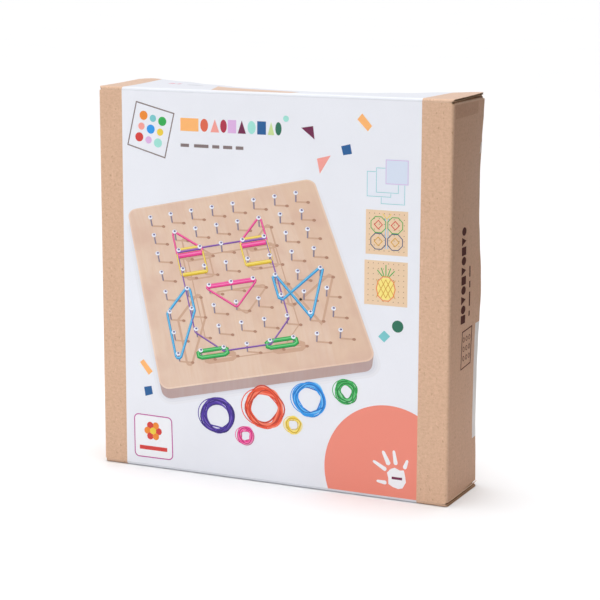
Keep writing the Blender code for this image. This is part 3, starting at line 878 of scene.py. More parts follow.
# The eye that the board is pictured from: its focal length on the panel in metres, its distance in pitches,
# how it is turned, and where the board's centre lands on the panel
PICTURE_FOCUS, PICTURE_DISTANCE = 0.6809, 38.43
PICTURE_TURN, PICTURE_RISE, PICTURE_ROLL = (math.radians(a) for a in (-8.93, 52.75, -5.23))
PICTURE_SHIFT = (-22.3 * MM, 147.8 * MM)


def picture_axes():
    """The view of the pictured board: right, up and back towards the eye."""
    low = math.cos(PICTURE_RISE)
    back = Vector((math.sin(PICTURE_TURN) * low, -math.cos(PICTURE_TURN) * low, math.sin(PICTURE_RISE)))
    right = Vector((math.cos(PICTURE_TURN), math.sin(PICTURE_TURN), 0))
    up = back.cross(right)
    turn, side = math.cos(PICTURE_ROLL), math.sin(PICTURE_ROLL)
    return turn * right + side * up, turn * up - side * right, back


PICTURE_AXES = picture_axes()


def seen(x, y, z=0.0):
    """Where a place on the pictured board, in pin pitches from its centre, lands on the front panel."""
    right, up, back = PICTURE_AXES
    place = Vector((x, y, z))
    scale = PICTURE_FOCUS / (PICTURE_DISTANCE - place.dot(back))
    return PICTURE_SHIFT[0] + scale * place.dot(right), PICTURE_SHIFT[1] + scale * place.dot(up)


PRINTED_PITCH = seen(1, 0)[0] - seen(0, 0)[0]


def pin_place(column, row):
    return Vector((column - MIDDLE, MIDDLE - row))


def board_outline(grow=0.0):
    corners = four_corners(EDGE_LEFT - grow, EDGE_RIGHT + grow, EDGE_LOW - grow, EDGE_TOP + grow)
    return rounded(corners, [CORNER + grow] * 4, 7)


def hull(points):
    """The convex outline round some points."""
    points = sorted(points)
    halves = []
    for order in (points, points[::-1]):
        half = []
        for p in order:
            while len(half) > 1:
                (ax, ay), (bx, by) = half[-2], half[-1]
                if (bx - ax) * (p[1] - ay) - (by - ay) * (p[0] - ax) > 0:
                    break
                half.pop()
            half.append(p)
        halves += half[:-1]
    return halves


def pictured_board():
    finishes = {
        "face": printed_wood("printed_board_face", colour(226, 197, 175), 1.55),
        "side": printed_wood("printed_board_side", colour(184, 160, 156), 2.6),
        "shine": printed_wood("printed_board_edge", colour(236, 210, 190), 1.55),
    }
    mesh = MeshBuilder(finishes)
    top = [seen(x, y) for x, y in board_outline()]
    low = [seen(x, y, -PICTURE_DEPTH) for x, y in board_outline()]
    round_both = hull(top + low)
    patch(mesh, round_both, 4, "side", marks=[(u * 40, v * 40) for u, v in round_both])
    patch(mesh, top, 5, "shine", marks=board_outline())
    inner = board_outline(-0.07)
    patch(mesh, [seen(x, y) for x, y in inner], 6, "face", marks=inner)
    mesh.settle("front_print_board_picture", "card", "carton")


PICTURED_BANDS = [  # pins in order, ink, height above the board, width, extra reach, all in pitches
    ([(1, 2), (2, 2), (2, 3), (1, 3)], "yellow", 0.26, 0.07, 0.11),
    ([(4, 2), (5, 2), (5, 3), (4, 3)], "yellow", 0.26, 0.07, 0.11),
    ([(1, 2), (5, 2), (5, 6), (4, 7), (2, 7), (1, 6)], "purple", 0.42, 0.05, 0.07),
    ([(1, 1), (2, 2), (1, 2)], "pink", 0.40, 0.075, 0.11),
    ([(5, 1), (5, 2), (4, 2)], "pink", 0.40, 0.075, 0.11),
    ([(2, 4), (4, 4), (3, 5)], "pink", 0.42, 0.075, 0.11),
    ([(1, 4), (1, 5), (0, 7), (0, 5)], "sky", 0.44, 0.10, 0.12),
    ([(1, 7), (2, 7)], "leaf", 0.30, 0.17, 0.15),
    ([(4, 7), (5, 7)], "leaf", 0.30, 0.17, 0.15),
]
PICTURED_BARS = [  # the wraps that lie thick between two pins: pins, ink, height, width, shift up the board
    ((1, 2), (2, 2), "yellow", 0.44, 0.10, 0.13), ((4, 2), (5, 2), "yellow", 0.44, 0.10, 0.13),
    ((1, 2), (2, 2), "pink", 0.30, 0.20, -0.08), ((4, 2), (5, 2), "pink", 0.30, 0.20, -0.08),
    ((1, 2), (2, 2), "purple", 0.42, 0.07, 0.02), ((4, 2), (5, 2), "purple", 0.42, 0.07, 0.02),
    ((2, 4), (4, 4), "pink", 0.42, 0.15, 0.03),
    ((1, 3), (2, 3), "yellow", 0.26, 0.13, -0.04), ((4, 3), (5, 3), "yellow", 0.26, 0.13, -0.04),
]


def loop_round(pins, reach, steps=3):
    """The path of a band round its outermost pins, clockwise."""
    places = [pin_place(*pin) for pin in pins]
    path = []
    for k, place in enumerate(places):
        before, after = place - places[k - 1], places[(k + 1) % len(places)] - place
        first = math.atan2(before.x, -before.y)
        turn = before.angle_signed(after) % FULL_TURN
        for step in range(steps + 1):
            angle = first - turn * step / steps
            path.append(place + reach * towards(angle))
    return path


def band_strokes(mesh, path, tone, height, width, rank, closed=True):
    """A band with its darker underside and a light line along it."""
    layers = ((-0.03, 1.05, "_shade"), (0.0, 0.85, ""), (0.015, 0.28, "_light"))
    for step, (lift, share, shade) in enumerate(layers):
        line = [seen(p.x, p.y, height + lift) for p in path]
        stroke(mesh, line, PRINTED_PITCH * width * share, rank + step, tone + shade, closed)


def band_shadow(mesh, path, height, width, closed=True):
    shift = SHADOW_TIP * height / PIN_TALL
    stroke(mesh, [seen(*(p + shift)) for p in path], PRINTED_PITCH * width, 8, "shadow", closed)


def pictured_pin(mesh, place):
    """A pin with its cast shadow, its dark side and its domed head."""
    side = PRINTED_PITCH
    tip = place + SHADOW_TIP
    foot, head = seen(*place), Vector(seen(*place, PIN_TALL))
    dark = [(foot[0] + 0.02 * side, foot[1]), (head.x + 0.02 * side, head.y)]
    stroke(mesh, [foot, seen(*place.lerp(tip, 0.96))], 0.07 * side, 9, "shadow")
    patch(mesh, disc(seen(*tip), 0.085 * side, 8, 0.7), 10, "shadow_end")
    stroke(mesh, [foot, tuple(head)], 0.062 * side, 12, "steel")
    stroke(mesh, dark, 0.016 * side, 13, "steel_dark")
    patch(mesh, disc(head, 0.105 * side, 12, 0.85), 20, "steel_light")
    patch(mesh, disc(head + Vector((0.012, 0.025)) * side, 0.052 * side, 8, 0.8), 21, "steel_dark")
    patch(mesh, disc(head + Vector((0.0, 0.035)) * side, 0.026 * side, 6, 0.8), 22, "steel")


def pictured_crossing(mesh):
    """The band that crosses over itself between four pins."""
    a, b, c, d = (pin_place(*pin) for pin in ((5, 4), (6, 6), (7, 4), (5, 5)))
    ends = Vector((0.11, 0))
    path = [a - ends, a + Vector((0.03, 0.11)), b + Vector((0, -0.11)), b + ends, c + ends]
    path += [c + Vector((-0.02, 0.11)), d + Vector((0.05, -0.11)), d - ends]
    band_shadow(mesh, path, 0.44, 0.10)
    band_strokes(mesh, path, "sky", 0.42, 0.10, 14)


def pictured_set():
    """The shadow under the board, its pins, and the bands round them."""
    mesh = MeshBuilder(INKS)
    for grow, tone, rank in ((0.28, "ground_1", 1), (0.17, "ground_2", 2), (0.07, "ground_3", 3)):
        low = [seen(x + 0.05, y, -PICTURE_DEPTH) for x, y in board_outline(grow)]
        patch(mesh, low, rank, tone)
    for k in range(PITCHES * PITCHES):
        pictured_pin(mesh, pin_place(k % PITCHES, k // PITCHES))
    for pins, tone, height, width, reach in PICTURED_BANDS:
        path = loop_round(pins, reach)
        band_shadow(mesh, path, height, width)
        band_strokes(mesh, path, tone, height, width, 14)
    for first, last, tone, height, width, shift in PICTURED_BARS:
        out, up = Vector((0.05, 0)), Vector((0, shift))
        path = [pin_place(*first) - out + up, pin_place(*last) + out + up]
        band_strokes(mesh, path, tone, height, width, 16, closed=False)
    pictured_crossing(mesh)
    mesh.settle("front_print_pins_and_bands", "card", "carton")


# ---------------------------------------------------------------- the rest of the front print

# Places and sizes are millimetres on the panel, from the middle of its foot
TANGLES = [  # printed band bundles: centre, outer radius, inner share, strands, ink
    ((-40.9, 45.8), 13.3, 0.70, 13, "violet"), ((-3.6, 55.3), 15.0, 0.72, 13, "flame"),
    ((32.2, 65.6), 12.3, 0.72, 10, "azure"), ((60.4, 74.2), 8.7, 0.50, 10, "leaf"),
    ((-18.3, 33.2), 6.9, 0.52, 9, "pink"), ((19.7, 45.5), 6.6, 0.55, 8, "yellow"),
]
FRAME_CORNERS = [(-105.1, 269.9), (-74.6, 262.5), (-82.3, 230.7), (-112.6, 238.9)]
GRID_TONES = ("orange", "teal", "leaf", "salmon", "azure", "yellow", "red", "lilac", "mint")
DASHES = ((-69.4, -62.6), (-58.6, -47.0), (-44.0, -38.4), (-35.4, -28.2), (-25.4, -19.4))
SHAPE_LEVEL, SHAPE_HEIGHT, DASH_LEVEL = 255.2, 9.2, 240.4
BADGE_CORNERS = [(-110.2, 7.6), (-78.4, 7.8), (-79.1, 39.4), (-110.4, 39.8)]
DISC_CENTRE, DISC_RADIUS = (92.5, 19.0), 48.5
FINGERS = [
    ((82.4, 26.2), (90.0, 22.0), 3.0), ((89.2, 33.4), (92.6, 26.6), 3.4), ((96.9, 34.6), (98.2, 27.2), 3.0),
    ((106.6, 29.0), (105.2, 25.0), 2.9), ((85.4, 12.6), (90.2, 12.2), 2.9),
]
PALM = [(91.8, 19.5), (94.6, 22.6), (97.6, 23.7), (101.4, 22.2), (104.4, 22.6), (105.4, 18.6),
        (106.1, 14.2), (103.6, 9.6), (100.4, 8.7), (96.0, 9.8), (93.0, 11.5), (92.9, 15.6)]
CONFETTI = [
    ("maroon", (25.2, 256.7), (34.2, 258.2), (35.3, 249.1)),
    ("light_orange", (70.7, 268.3), (78.0, 260.1), (75.0, 256.4), (67.2, 264.1)),
    ("blue", (55.3, 245.4), (62.1, 247.1), (63.4, 240.5), (56.9, 239.3)),
    ("salmon", (37.2, 236.0), (47.5, 238.6), (39.4, 225.7)),
    ("teal", (88.6, 111.8), (93.0, 116.4), (88.5, 120.2), (84.1, 115.6)),
    ("light_orange", (-102.0, 81.5), (-94.5, 73.1), (-97.8, 70.2), (-105.1, 79.1)),
    ("blue", (-101.9, 60.7), (-95.7, 62.1), (-94.5, 56.0), (-100.8, 54.0)),
]
SHEETS = [  # pattern sheets, from the back one to the front one
    ((84.8, 207.3), (102.9, 226.0)), ((74.4, 212.0), (92.8, 229.8)),
    ((81.2, 214.9), (98.3, 232.5)), ((88.2, 221.1), (105.2, 238.2)),
]
SHAPE_ROW = [  # coloured shapes along the top: left end, right end, ink, corners (0 is round)
    (-69.4, -54.9, "light_orange", 4), (-53.4, -47.2, "orange_red", 0), (-45.3, -38.4, "salmon", 3),
    (-37.6, -32.4, "crimson", 0), (-31.6, -25.0, "lilac", 4), (-23.8, -17.4, "maroon", 3),
    (-16.1, -9.8, "mint", 0), (-8.6, -1.8, "blue", 4), (-0.4, 4.7, "light_green", 3),
    (5.4, 10.2, "dark_green", 0),
]
LOOP_STEPS = 36


def tangle(mesh, centre, radius, inner, strands, tone, draw):
    """A bundle of loose bands: many thin loops that wander about one ring."""
    width = 0.042 * radius + 0.34 * MM
    ring = (1 + inner) / 2
    for k in range(strands):
        base = radius * (inner + (1 - inner) * (k + 0.5) / strands)
        wander = [(draw.uniform(0.012, 0.05) * radius, draw.uniform(0, FULL_TURN)) for _ in range(3)]
        push = draw.uniform(0.0, 0.07) * radius
        way = draw.uniform(0, FULL_TURN)
        points = []
        for step in range(LOOP_STEPS):
            angle = FULL_TURN * step / LOOP_STEPS
            waves = (size * math.sin((n + 2) * angle + phase) for n, (size, phase) in enumerate(wander))
            reach = base + sum(waves)
            points.append(Vector(centre) + reach * towards(angle) + push * towards(way))
        shade = ("_shade", "", "", "_light")[k % 4]
        stroke(mesh, points, width * draw.uniform(0.8, 1.25), 6 + k % 5, tone + shade, True)
    stroke(mesh, disc(centre, radius * ring, LOOP_STEPS), radius * (1 - inner) * 0.62, 5, tone, True)
    stray = Vector(centre) + Vector((-0.22, 0.02)) * radius
    stroke(mesh, disc(stray, radius * 0.98, LOOP_STEPS, 0.92), width * 0.7, 5, tone, True)


def shape(left, right, middle, height, corners):
    """A plain shape between two places across: round, three-cornered or four-cornered."""
    centre, radius = ((left + right) / 2, middle), (right - left) / 2
    low, high = middle - height / 2, middle + height / 2
    if corners == 0:
        return disc(centre, radius, 20, height / (2 * radius))
    if corners == 3:
        return [(left, low), (right, low), (centre[0], high)]
    return four_corners(left, right, low, high)


def heading(mesh):
    """A tilted frame holding a dot grid, a row of coloured shapes and a line of dashes."""
    stroke(mesh, in_mm(*FRAME_CORNERS), 0.9 * MM, 2, "outline", True)
    start, across, down = Vector(FRAME_CORNERS[0]), Vector((30.5, -7.4)), Vector((-7.5, -31.1))
    for k, tone in enumerate(GRID_TONES):
        centre = start + across * (0.25 + 0.25 * (k % 3)) + down * (0.25 + 0.25 * (k // 3))
        patch(mesh, in_mm(*disc(centre, 2.6 if k % 2 else 3.3)), 2, tone)
    for left, right, tone, corners in SHAPE_ROW:
        patch(mesh, in_mm(*shape(left, right, SHAPE_LEVEL, SHAPE_HEIGHT, corners)), 2, tone)
    patch(mesh, in_mm(*disc((13.6, 262.4), 2.2)), 2, "mint")
    for left, right in DASHES:
        stroke(mesh, in_mm((left, DASH_LEVEL), (right, DASH_LEVEL)), 2.3 * MM, 2, "outline")


def scattered(mesh):
    for tone, *corners in CONFETTI:
        patch(mesh, in_mm(*corners), 2, tone)
    patch(mesh, in_mm(*disc((98.5, 123.8), 4.2, 24)), 2, "dark_green")


def hand_disc(mesh):
    """A coral disc that runs off the white field and the panel's foot, with a hand in it."""
    right, low = BAND_RIGHT / MM, FRONT_LOW / MM
    first = math.acos((right - DISC_CENTRE[0]) / DISC_RADIUS)
    last = math.pi + math.asin((DISC_CENTRE[1] - low) / DISC_RADIUS)
    outline = [(right, low), *arc(DISC_CENTRE, DISC_RADIUS, first, last, 48)]
    patch(mesh, in_mm(*outline), 1, "coral")
    for start, end, width in FINGERS:
        patch(mesh, in_mm(*lens(start, end, width)), 2, "paper")
    patch(mesh, in_mm(*PALM), 2, "paper")
    stroke(mesh, in_mm((95.4, 16.2), (103.2, 16.2)), 1.8 * MM, 3, "maroon")


def badge(mesh):
    """A rounded outline with a plain flower and a bar."""
    outline = rounded(in_mm(*BADGE_CORNERS), [3.4 * MM] * 4, 4)
    patch(mesh, outline, 1, "paper")
    stroke(mesh, outline, 0.8 * MM, 2, "magenta", True)
    centre = Vector((-94.8, 28.0))
    for k in range(6):
        petal = centre + 4.7 * towards(k * math.pi / 3)
        patch(mesh, in_mm(*disc(petal, 2.7, 14)), 2, "orange" if k % 2 else "red")
    patch(mesh, in_mm(*disc(centre, 2.6, 14)), 3, "yellow")
    stroke(mesh, in_mm((-106.2, 14.8), (-83.0, 14.8)), 3.0 * MM, 2, "red")


def example_card(mesh, low, high, picture):
    corners = [low, (high[0], low[1]), high, (low[0], high[1])]
    patch(mesh, in_mm(*corners), 2, "card_wood")
    size = high[0] - low[0]
    for k in range(PITCHES * PITCHES):
        x, y = (size * (n + 0.75) / (PITCHES + 0.5) for n in (k % PITCHES, k // PITCHES))
        patch(mesh, in_mm(*disc((low[0] + x, low[1] + y), 0.34, 6)), 3, "dot")
    picture(mesh, Vector(((low[0] + high[0]) / 2, (low[1] + high[1]) / 2)), size)


def loop_card(mesh, centre, size):
    """Four eight-sided loops with squares inside them, joined by pale lines."""
    for k, (x, y) in enumerate(((-0.2, 0.17), (0.2, 0.17), (-0.2, -0.2), (0.2, -0.2))):
        place = centre + Vector((x, y)) * size
        loop, square = ("green", "red") if k < 2 else ("navy", "ochre")
        points = [place + 0.19 * size * towards(math.pi * (n + 0.5) / 4) for n in range(8)]
        stroke(mesh, in_mm(*points), 0.55 * MM, 4, loop, True)
        stroke(mesh, in_mm(*disc(place, 0.095 * size, 4)), 0.55 * MM, 4, square, True)
    for x in (-0.03, 0.03):
        ends = [centre + Vector((x, y)) * size for y in (-0.36, 0.34)]
        stroke(mesh, in_mm(*ends), 0.45 * MM, 3, "azure_light")
    for x in (-0.1, 0.1):
        ends = [centre + Vector((0, 0.3)) * size, centre + Vector((x, 0.42)) * size]
        stroke(mesh, in_mm(*ends), 0.5 * MM, 4, "yellow")


def fruit_card(mesh, centre, size):
    """A lattice oval under a tuft of leaves."""
    body = centre + Vector((0, -0.12)) * size
    patch(mesh, in_mm(*disc(body, 0.2 * size, 10, 1.25)), 3, "yellow_light")
    stroke(mesh, in_mm(*disc(body, 0.22 * size, 10, 1.25)), 0.6 * MM, 5, "orange", True)
    for k in (-1, 0, 1):
        for way in (-1, 1):
            middle, reach = body + Vector((0.11 * k, 0)) * size, Vector((0.11 * way, 0.2)) * size
            stroke(mesh, in_mm(middle - reach, middle + reach), 0.5 * MM, 4, "ochre")
    for x in (-0.2, -0.11, 0.0, 0.11, 0.2):
        ends = [body + Vector((x * 0.35, 0.26)) * size, body + Vector((x, 0.52 - abs(x) * 0.6)) * size]
        stroke(mesh, in_mm(*ends), 0.65 * MM, 4, "green")


def sheets(mesh):
    for rank, ((left, low), (right, high)) in enumerate(SHEETS):
        paper, edge = ("pale_blue", "lilac") if rank == 3 else ("paler_blue", "teal")
        patch(mesh, in_mm(*four_corners(left, right, low, high)), 2 + 2 * rank, paper)
        inside = in_mm(*four_corners(left + 0.5, right - 0.5, low + 0.5, high - 0.5))
        stroke(mesh, inside, 0.35 * MM, 3 + 2 * rank, edge, True)


def front_print():
    mesh = MeshBuilder({**INKS, "card_wood": printed_wood("printed_card_wood", colour(236, 206, 172), 0.2)})
    example_card(mesh, (74.1, 172.7), (105.1, 203.3), loop_card)
    example_card(mesh, (73.4, 137.6), (105.3, 168.5), fruit_card)
    mesh.settle("front_print_example_cards", "card", "carton")
    mesh = MeshBuilder(INKS)
    for part in (heading, scattered, hand_disc, badge, sheets):
        part(mesh)
    draw = random.Random(4)
    for centre, radius, inner, strands, tone in TANGLES:
        middle = (centre[0] * MM, centre[1] * MM)
        tangle(mesh, middle, radius * MM, inner, strands, tone, draw)
    mesh.settle("front_print_inks", "card", "carton")


# ---------------------------------------------------------------- print on the other panels


def lid_print():
    """The print that runs over the fold onto the lid, and small marks of its own."""
    mesh = MeshBuilder({"face": printed_wood("printed_lid_wood", colour(204, 172, 150), 0.06), **INKS})
    outline = in_mm((-46, 0.1), (16, 0.1), (16, 13), (-63, 43))
    columns = column_places(outline, 4 * MM)

    def place(a, b, depth):
        return closing_place(a, CREASE_END + b, depth, "top")

    layer(mesh, outline, columns, 10, (-3 * INK_STEP, INK_ROOT), place, "face", "face")
    patch(mesh, in_mm((-101, 8), (-92, 8), (-92, 13), (-101, 13)), 2, "lid_pink", on_lid)
    patch(mesh, in_mm((-86, 9), (-74, 9), (-74, 12), (-86, 12)), 2, "lid_grey", on_lid)
    mesh.settle("lid_print", "card", "lid")


SIDE_SHAPES = (4, 0, 3, 0, 4, 3, 0, 4, 3, 0)  # corners of each shape, from the lowest up (0 is round)
SIDE_DASHES = ((128, 131.5), (135, 145), (148, 152.5), (155.5, 163))


def side_print():
    """Brown shapes over a framed dot grid on the right side, with a darker kraft patch and a short pale
    stroke near the top.
    """
    # A darker kraft for a patch near the top of the side.
    darker_patch = kraft_paper("kraft_darker_patch", colour(194, 144, 110))
    mesh = MeshBuilder({**INKS, "darker_patch": darker_patch, "brown_matt": ink("brown_matt", 84, 40, 34, 0.75, 0.1)})
    outline = in_mm((-27.5, 266.6), (17.5, 267.4), (17.0, 275.6), (-27.2, 275.9))

    def place(a, b, depth):
        return on_right(a, b, -depth)

    columns, depths = column_places(outline, 4 * MM), (INK_STEP, INK_ROOT + INK_STEP)
    layer(mesh, outline, columns, 3, depths, place, "darker_patch", "darker_patch")
    # A short pale stroke near the back edge, high on the side.
    stroke(mesh, in_mm((26.6, 238.6), (27.4, 243.0), (28.6, 246.4)), 0.8 * MM, 2, "paper", False, on_right)
    for k, corners in enumerate(SIDE_SHAPES):
        centre, radius = 127.4 + k * 6.8, 2.9
        outline = shape(centre - radius, centre + radius, -6.2, 8.6, corners)
        patch(mesh, in_mm(*[(y, z) for z, y in outline]), 2, "brown_matt", on_right)
    for low, high in SIDE_DASHES:
        stroke(mesh, in_mm((6.2, low), (6.2, high)), 2.0 * MM, 2, "brown_matt", False, on_right)
    dot_frame = in_mm((-8.4, 92.4), (-6.6, 118.4), (13.2, 119.6), (12.2, 93.6))
    stroke(mesh, dot_frame, 0.8 * MM, 2, "brown_matt", True, on_right)
    for k in range(9):
        centre = (-3.4 + 6.0 * (k % 3), 99.4 + 6.6 * (k // 3))
        stroke(mesh, in_mm(*disc(centre, 1.6, 12)), 0.5 * MM, 2, "brown_matt", True, on_right)
    mesh.settle("side_print", "card", "carton")


def back_label():
    """A white label on the back that turns round the edge onto the right side, with rows of dashes."""
    mesh = MeshBuilder({"paper": coated_print("label_paper", colour(234, 227, 223), 0.5)})
    fold = perimeter.reach(6)
    outline = four_corners(fold - 128 * MM, fold + 8.6 * MM, 36.5 * MM, 120 * MM)
    places = [fold - CORNER_ARC * k / FOLD_COLUMNS for k in range(FOLD_COLUMNS + 1)]
    columns = column_places(outline, 5 * MM, places)
    layer(mesh, outline, columns, 18, (-0.09 * MM, 0.05 * MM), sleeve_place, "paper", "paper")
    mesh.settle("back_label_paper", "card", "carton")
    mesh = MeshBuilder(INKS)
    draw = random.Random(7)
    for row in range(9):
        x, z = 20.0, 112.0 - row * 8.0
        while x < 112:
            length = draw.uniform(4, 13)
            ends = in_mm((x, z), (min(x + length, 118), z))
            stroke(mesh, ends, 1.5 * MM, 6, "outline", False, on_back)
            x += length + 3
    for k, tone in enumerate(("salmon", "teal", "light_orange", "leaf")):
        centre = (-100 + 44 * k, 190)
        square = four_corners(centre[0] - 14, centre[0] + 14, 176, 204)
        stroke(mesh, in_mm(*square), 0.9 * MM, 3, "brown", True, on_back)
        corners = (3, 4, 6, 5)[k]
        stroke(mesh, in_mm(*disc(centre, 9.5, corners)), 1.2 * MM, 4, tone, True, on_back)
        for n in range(25):
            dot = (centre[0] + 5 * (n % 5 - 2), centre[1] + 5 * (n // 5 - 2))
            patch(mesh, in_mm(*disc(dot, 0.5, 6)), 5, "brown", on_back)
    mesh.settle("back_print", "card", "carton")


for panel_print in (pictured_board, pictured_set, front_print, lid_print, side_print, back_label):
    panel_print()

# ---------------------------------------------------------------- what is packed inside

PITCH = 26 * MM
PIN_STAND = 15 * MM
WOOD_FRONT, WOOD_BACK = WOOD_BOX[0].y, WOOD_BOX[1].y
WOOD_HALF = (WOOD_BOX[1].x - WOOD_BOX[0].x) / 2
WOOD_CORNER, WOOD_EDGE = 14 * MM, 2.5 * MM
PIN_RADIUS = 0.9 * MM
PIN_PROFILE = [  # radius and distance from the pin's tip
    (0.9, 17.0), (0.9, 1.9), (1.1, 1.6), (1.9, 1.35), (2.0, 1.15),
    (1.95, 0.8), (1.6, 0.35), (1.0, 0.08), (0.0, 0.0),
]
BAND_GAP = 0.3 * MM
STRETCHED = {  # pins, height above the board, drop for each row, thickness
    "body_band_purple": ([(1, 2), (5, 2), (5, 6), (4, 7), (2, 7), (1, 6)], 11.8, 1.55, 1.2),
    "ear_band_left_pink": ([(1, 1), (2, 2), (1, 2)], 10.4, 1.2, 1.6),
    "ear_band_right_pink": ([(5, 1), (5, 2), (4, 2)], 10.4, 1.2, 1.6),
    "eye_band_left_yellow": ([(1, 2), (2, 2), (2, 3), (1, 3)], 6.6, 0.0, 1.6),
    "eye_band_right_yellow": ([(4, 2), (5, 2), (5, 3), (4, 3)], 6.6, 0.0, 1.6),
    "beak_band_pink": ([(2, 4), (4, 4), (3, 5)], 10.4, 0.0, 1.8),
    "wing_band_left_blue": ([(1, 4), (1, 5), (0, 7), (0, 5)], 12.0, 1.2, 1.6),
    "foot_band_left_green": ([(1, 7), (2, 7)], 8.8, 0.0, 3.4),
    "foot_band_right_green": ([(4, 7), (5, 7)], 8.8, 0.0, 3.4),
}
CROSSED_PINS, CROSSED_TURNS = [(5, 5), (5, 4), (6, 6), (7, 4)], [1, 1, -1, -1]
CROSSED_HEIGHT, CROSSED_LIFT, CROSSED_THICKNESS = 11.2, 1.1, 1.6
THICK_STRANDS = [  # a wrap of five strands: out from the pin, up and radius
    (-0.95, 0.5, 0.75), (0.0, 1.0, 0.72), (0.9, 0.55, 0.72), (-0.5, -0.75, 0.8), (0.6, -0.8, 0.8),
]
BUNDLE_LOOPS, BUNDLE_STEPS = 18, 44
BUNDLES = ("purple", "orange", "blue", "green", "pink", "yellow")
RUBBERS = {
    "purple": (84, 46, 166), "pink": (232, 54, 143), "yellow": (236, 202, 50),
    "blue": (36, 156, 226), "green": (38, 166, 72), "orange": (234, 82, 46),
}


def beech():
    """Matt varnished beech: long grain, short dark rays and a soft change of tone from stave to stave."""
    base = colour(230, 196, 160)
    wood = Finish("beech", base, 0.5, 0.4)
    staves = wood.staves(wood.across(), 44 * MM)
    grain = wood.noise(130, 4, 0.6, 0.6, stretch=(1, 0.06, 1))
    fine = wood.noise(900, 3, 0.6, stretch=(1, 0.05, 1))
    rays = wood.noise(1100, 1, 0.4, stretch=(1, 0.22, 1), offset=(0.2, 0.4, 0))
    warm = scaled(base, 0.90, 0.80, 0.70)
    wood.tint(staves, 0, 1, 0.45, warm)
    wood.tint(grain, 0.4, 0.7, 0.5, warm)
    wood.tint(fine, 0.5, 0.8, 0.4, scaled(base, 0.8))
    wood.tint(rays, 0.68, 0.76, 0.6, colour(176, 128, 92))
    wood.gloss(fine, 0.2, 0.8, 0.42, 0.6)
    wood.bump(fine, 0.2, 0.08 * MM)
    return wood.material


def rubber(name, red, green, blue):
    """Thin coloured rubber with a trace of talc."""
    base = colour(red, green, blue)
    skin = Finish(f"rubber_{name}", base, 0.5, 0.45)
    talc = skin.noise(700, 3, 0.6)
    skin.tint(skin.noise(60, 2, 0.5), 0.35, 0.7, 0.35, scaled(base, 0.78))
    skin.tint(talc, 0.55, 0.85, 0.25, (0.9, 0.88, 0.86, 1))
    skin.gloss(talc, 0.3, 0.8, 0.42, 0.66)
    skin.bump(talc, 0.15, 0.05 * MM)
    return skin.material


def drawn_steel():
    """Bright wire with fine drawing lines along it."""
    metal = Finish("pin_steel", (0.66, 0.66, 0.68, 1), 0.28, 0.5, 1.0)
    lines = metal.noise(2600, 2, 0.5, stretch=(1, 0.1, 1))
    metal.tint(lines, 0.3, 0.7, 0.5, (0.5, 0.5, 0.53, 1))
    metal.gloss(lines, 0.3, 0.7, 0.2, 0.38)
    return metal.material


def card_paper():
    """Cream card with a slow cloudiness and pale fibres."""
    card = Finish("card_paper", colour(236, 214, 178), 0.5, 0.4)
    fibres = card.noise(700, 3, 0.6)
    card.tint(card.noise(60, 3, 0.6, stretch=(1, 0.12, 1)), 0.35, 0.7, 0.5, colour(222, 192, 150))
    card.tint(fibres, 0.5, 0.8, 0.3, colour(244, 228, 200))
    card.bump(fibres, 0.08, 0.05 * MM)
    return card.material


def grey_board():
    """Recycled grey board with pale and dark fibres."""
    board = Finish("grey_board", colour(168, 162, 154), 0.8, 0.25, on_sheet=False)
    fibres = board.noise(900, 3, 0.6, stretch=(1, 1, 0.4))
    flecks = board.noise(420, 2, 0.5, stretch=(1, 1, 0.6), offset=(0.4, 0.1, 0))
    board.tint(fibres, 0.4, 0.75, 0.6, colour(190, 185, 178))
    board.tint(flecks, 0.64, 0.72, 0.7, colour(112, 106, 100))
    board.gloss(fibres, 0.2, 0.8, 0.74, 0.9)
    board.bump(fibres, 0.25, 0.15 * MM)
    return board.material


def tube(mesh, path, radius, slot, sides=8):
    """A closed ring of rubber along a path that faces the front."""
    count, along = len(path), 0.0
    rings = []
    for k, place in enumerate(path):
        way = (path[(k + 1) % count] - path[k - 1]).normalized()
        out = Vector((0, -1, 0))
        side = way.cross(out).normalized()
        out = side.cross(way)
        along += (place - path[k - 1]).length if k else 0.0
        ring = []
        for n in range(sides):
            angle = FULL_TURN * n / sides
            point = place + radius * (side * math.cos(angle) + out * math.sin(angle))
            ring.append(mesh.point(point, (along, angle * radius)))
        rings.append(ring)
    for ring, after in zip(rings, rings[1:] + rings[:1]):
        mesh.join(ring, after, slot)


def wooden_board():
    """The peg board: a square slab with rounded corners and eased edges."""
    mesh = MeshBuilder({"beech": beech()})
    inner = WOOD_HALF - WOOD_EDGE
    rings = []
    steps = [math.radians(angle) for angle in (0, 22.5, 45, 67.5, 90)]
    levels = [(math.sin(t), WOOD_FRONT + WOOD_EDGE * (1 - math.cos(t))) for t in steps]
    levels += [(math.sin(t), WOOD_BACK - WOOD_EDGE * (1 - math.cos(t))) for t in reversed(steps)]
    for swell, y in levels:
        half = inner + WOOD_EDGE * swell
        corner = WOOD_CORNER - WOOD_EDGE * (1 - swell)
        depth = y - WOOD_FRONT
        ring = []
        for x, z in rounded(four_corners(-half, half, -half, half), [corner] * 4, 8):
            mark = (x * (1 + depth / WOOD_HALF), z + 0.3 * depth)
            ring.append(mesh.point((x, y, WOOD_CENTRE.z + z), mark))
        rings.append(ring)
    mesh.face(tuple(rings[0]), "beech")
    mesh.face(tuple(reversed(rings[-1])), "beech")
    for ring, after in zip(rings, rings[1:]):
        mesh.join(ring, after, "beech")
    mesh.settle("peg_board_wood", "beech", "board", "wooden_board")


def pin_spot(column, row):
    return WOOD_CENTRE.x + (column - MIDDLE) * PITCH, WOOD_CENTRE.z + (MIDDLE - row) * PITCH


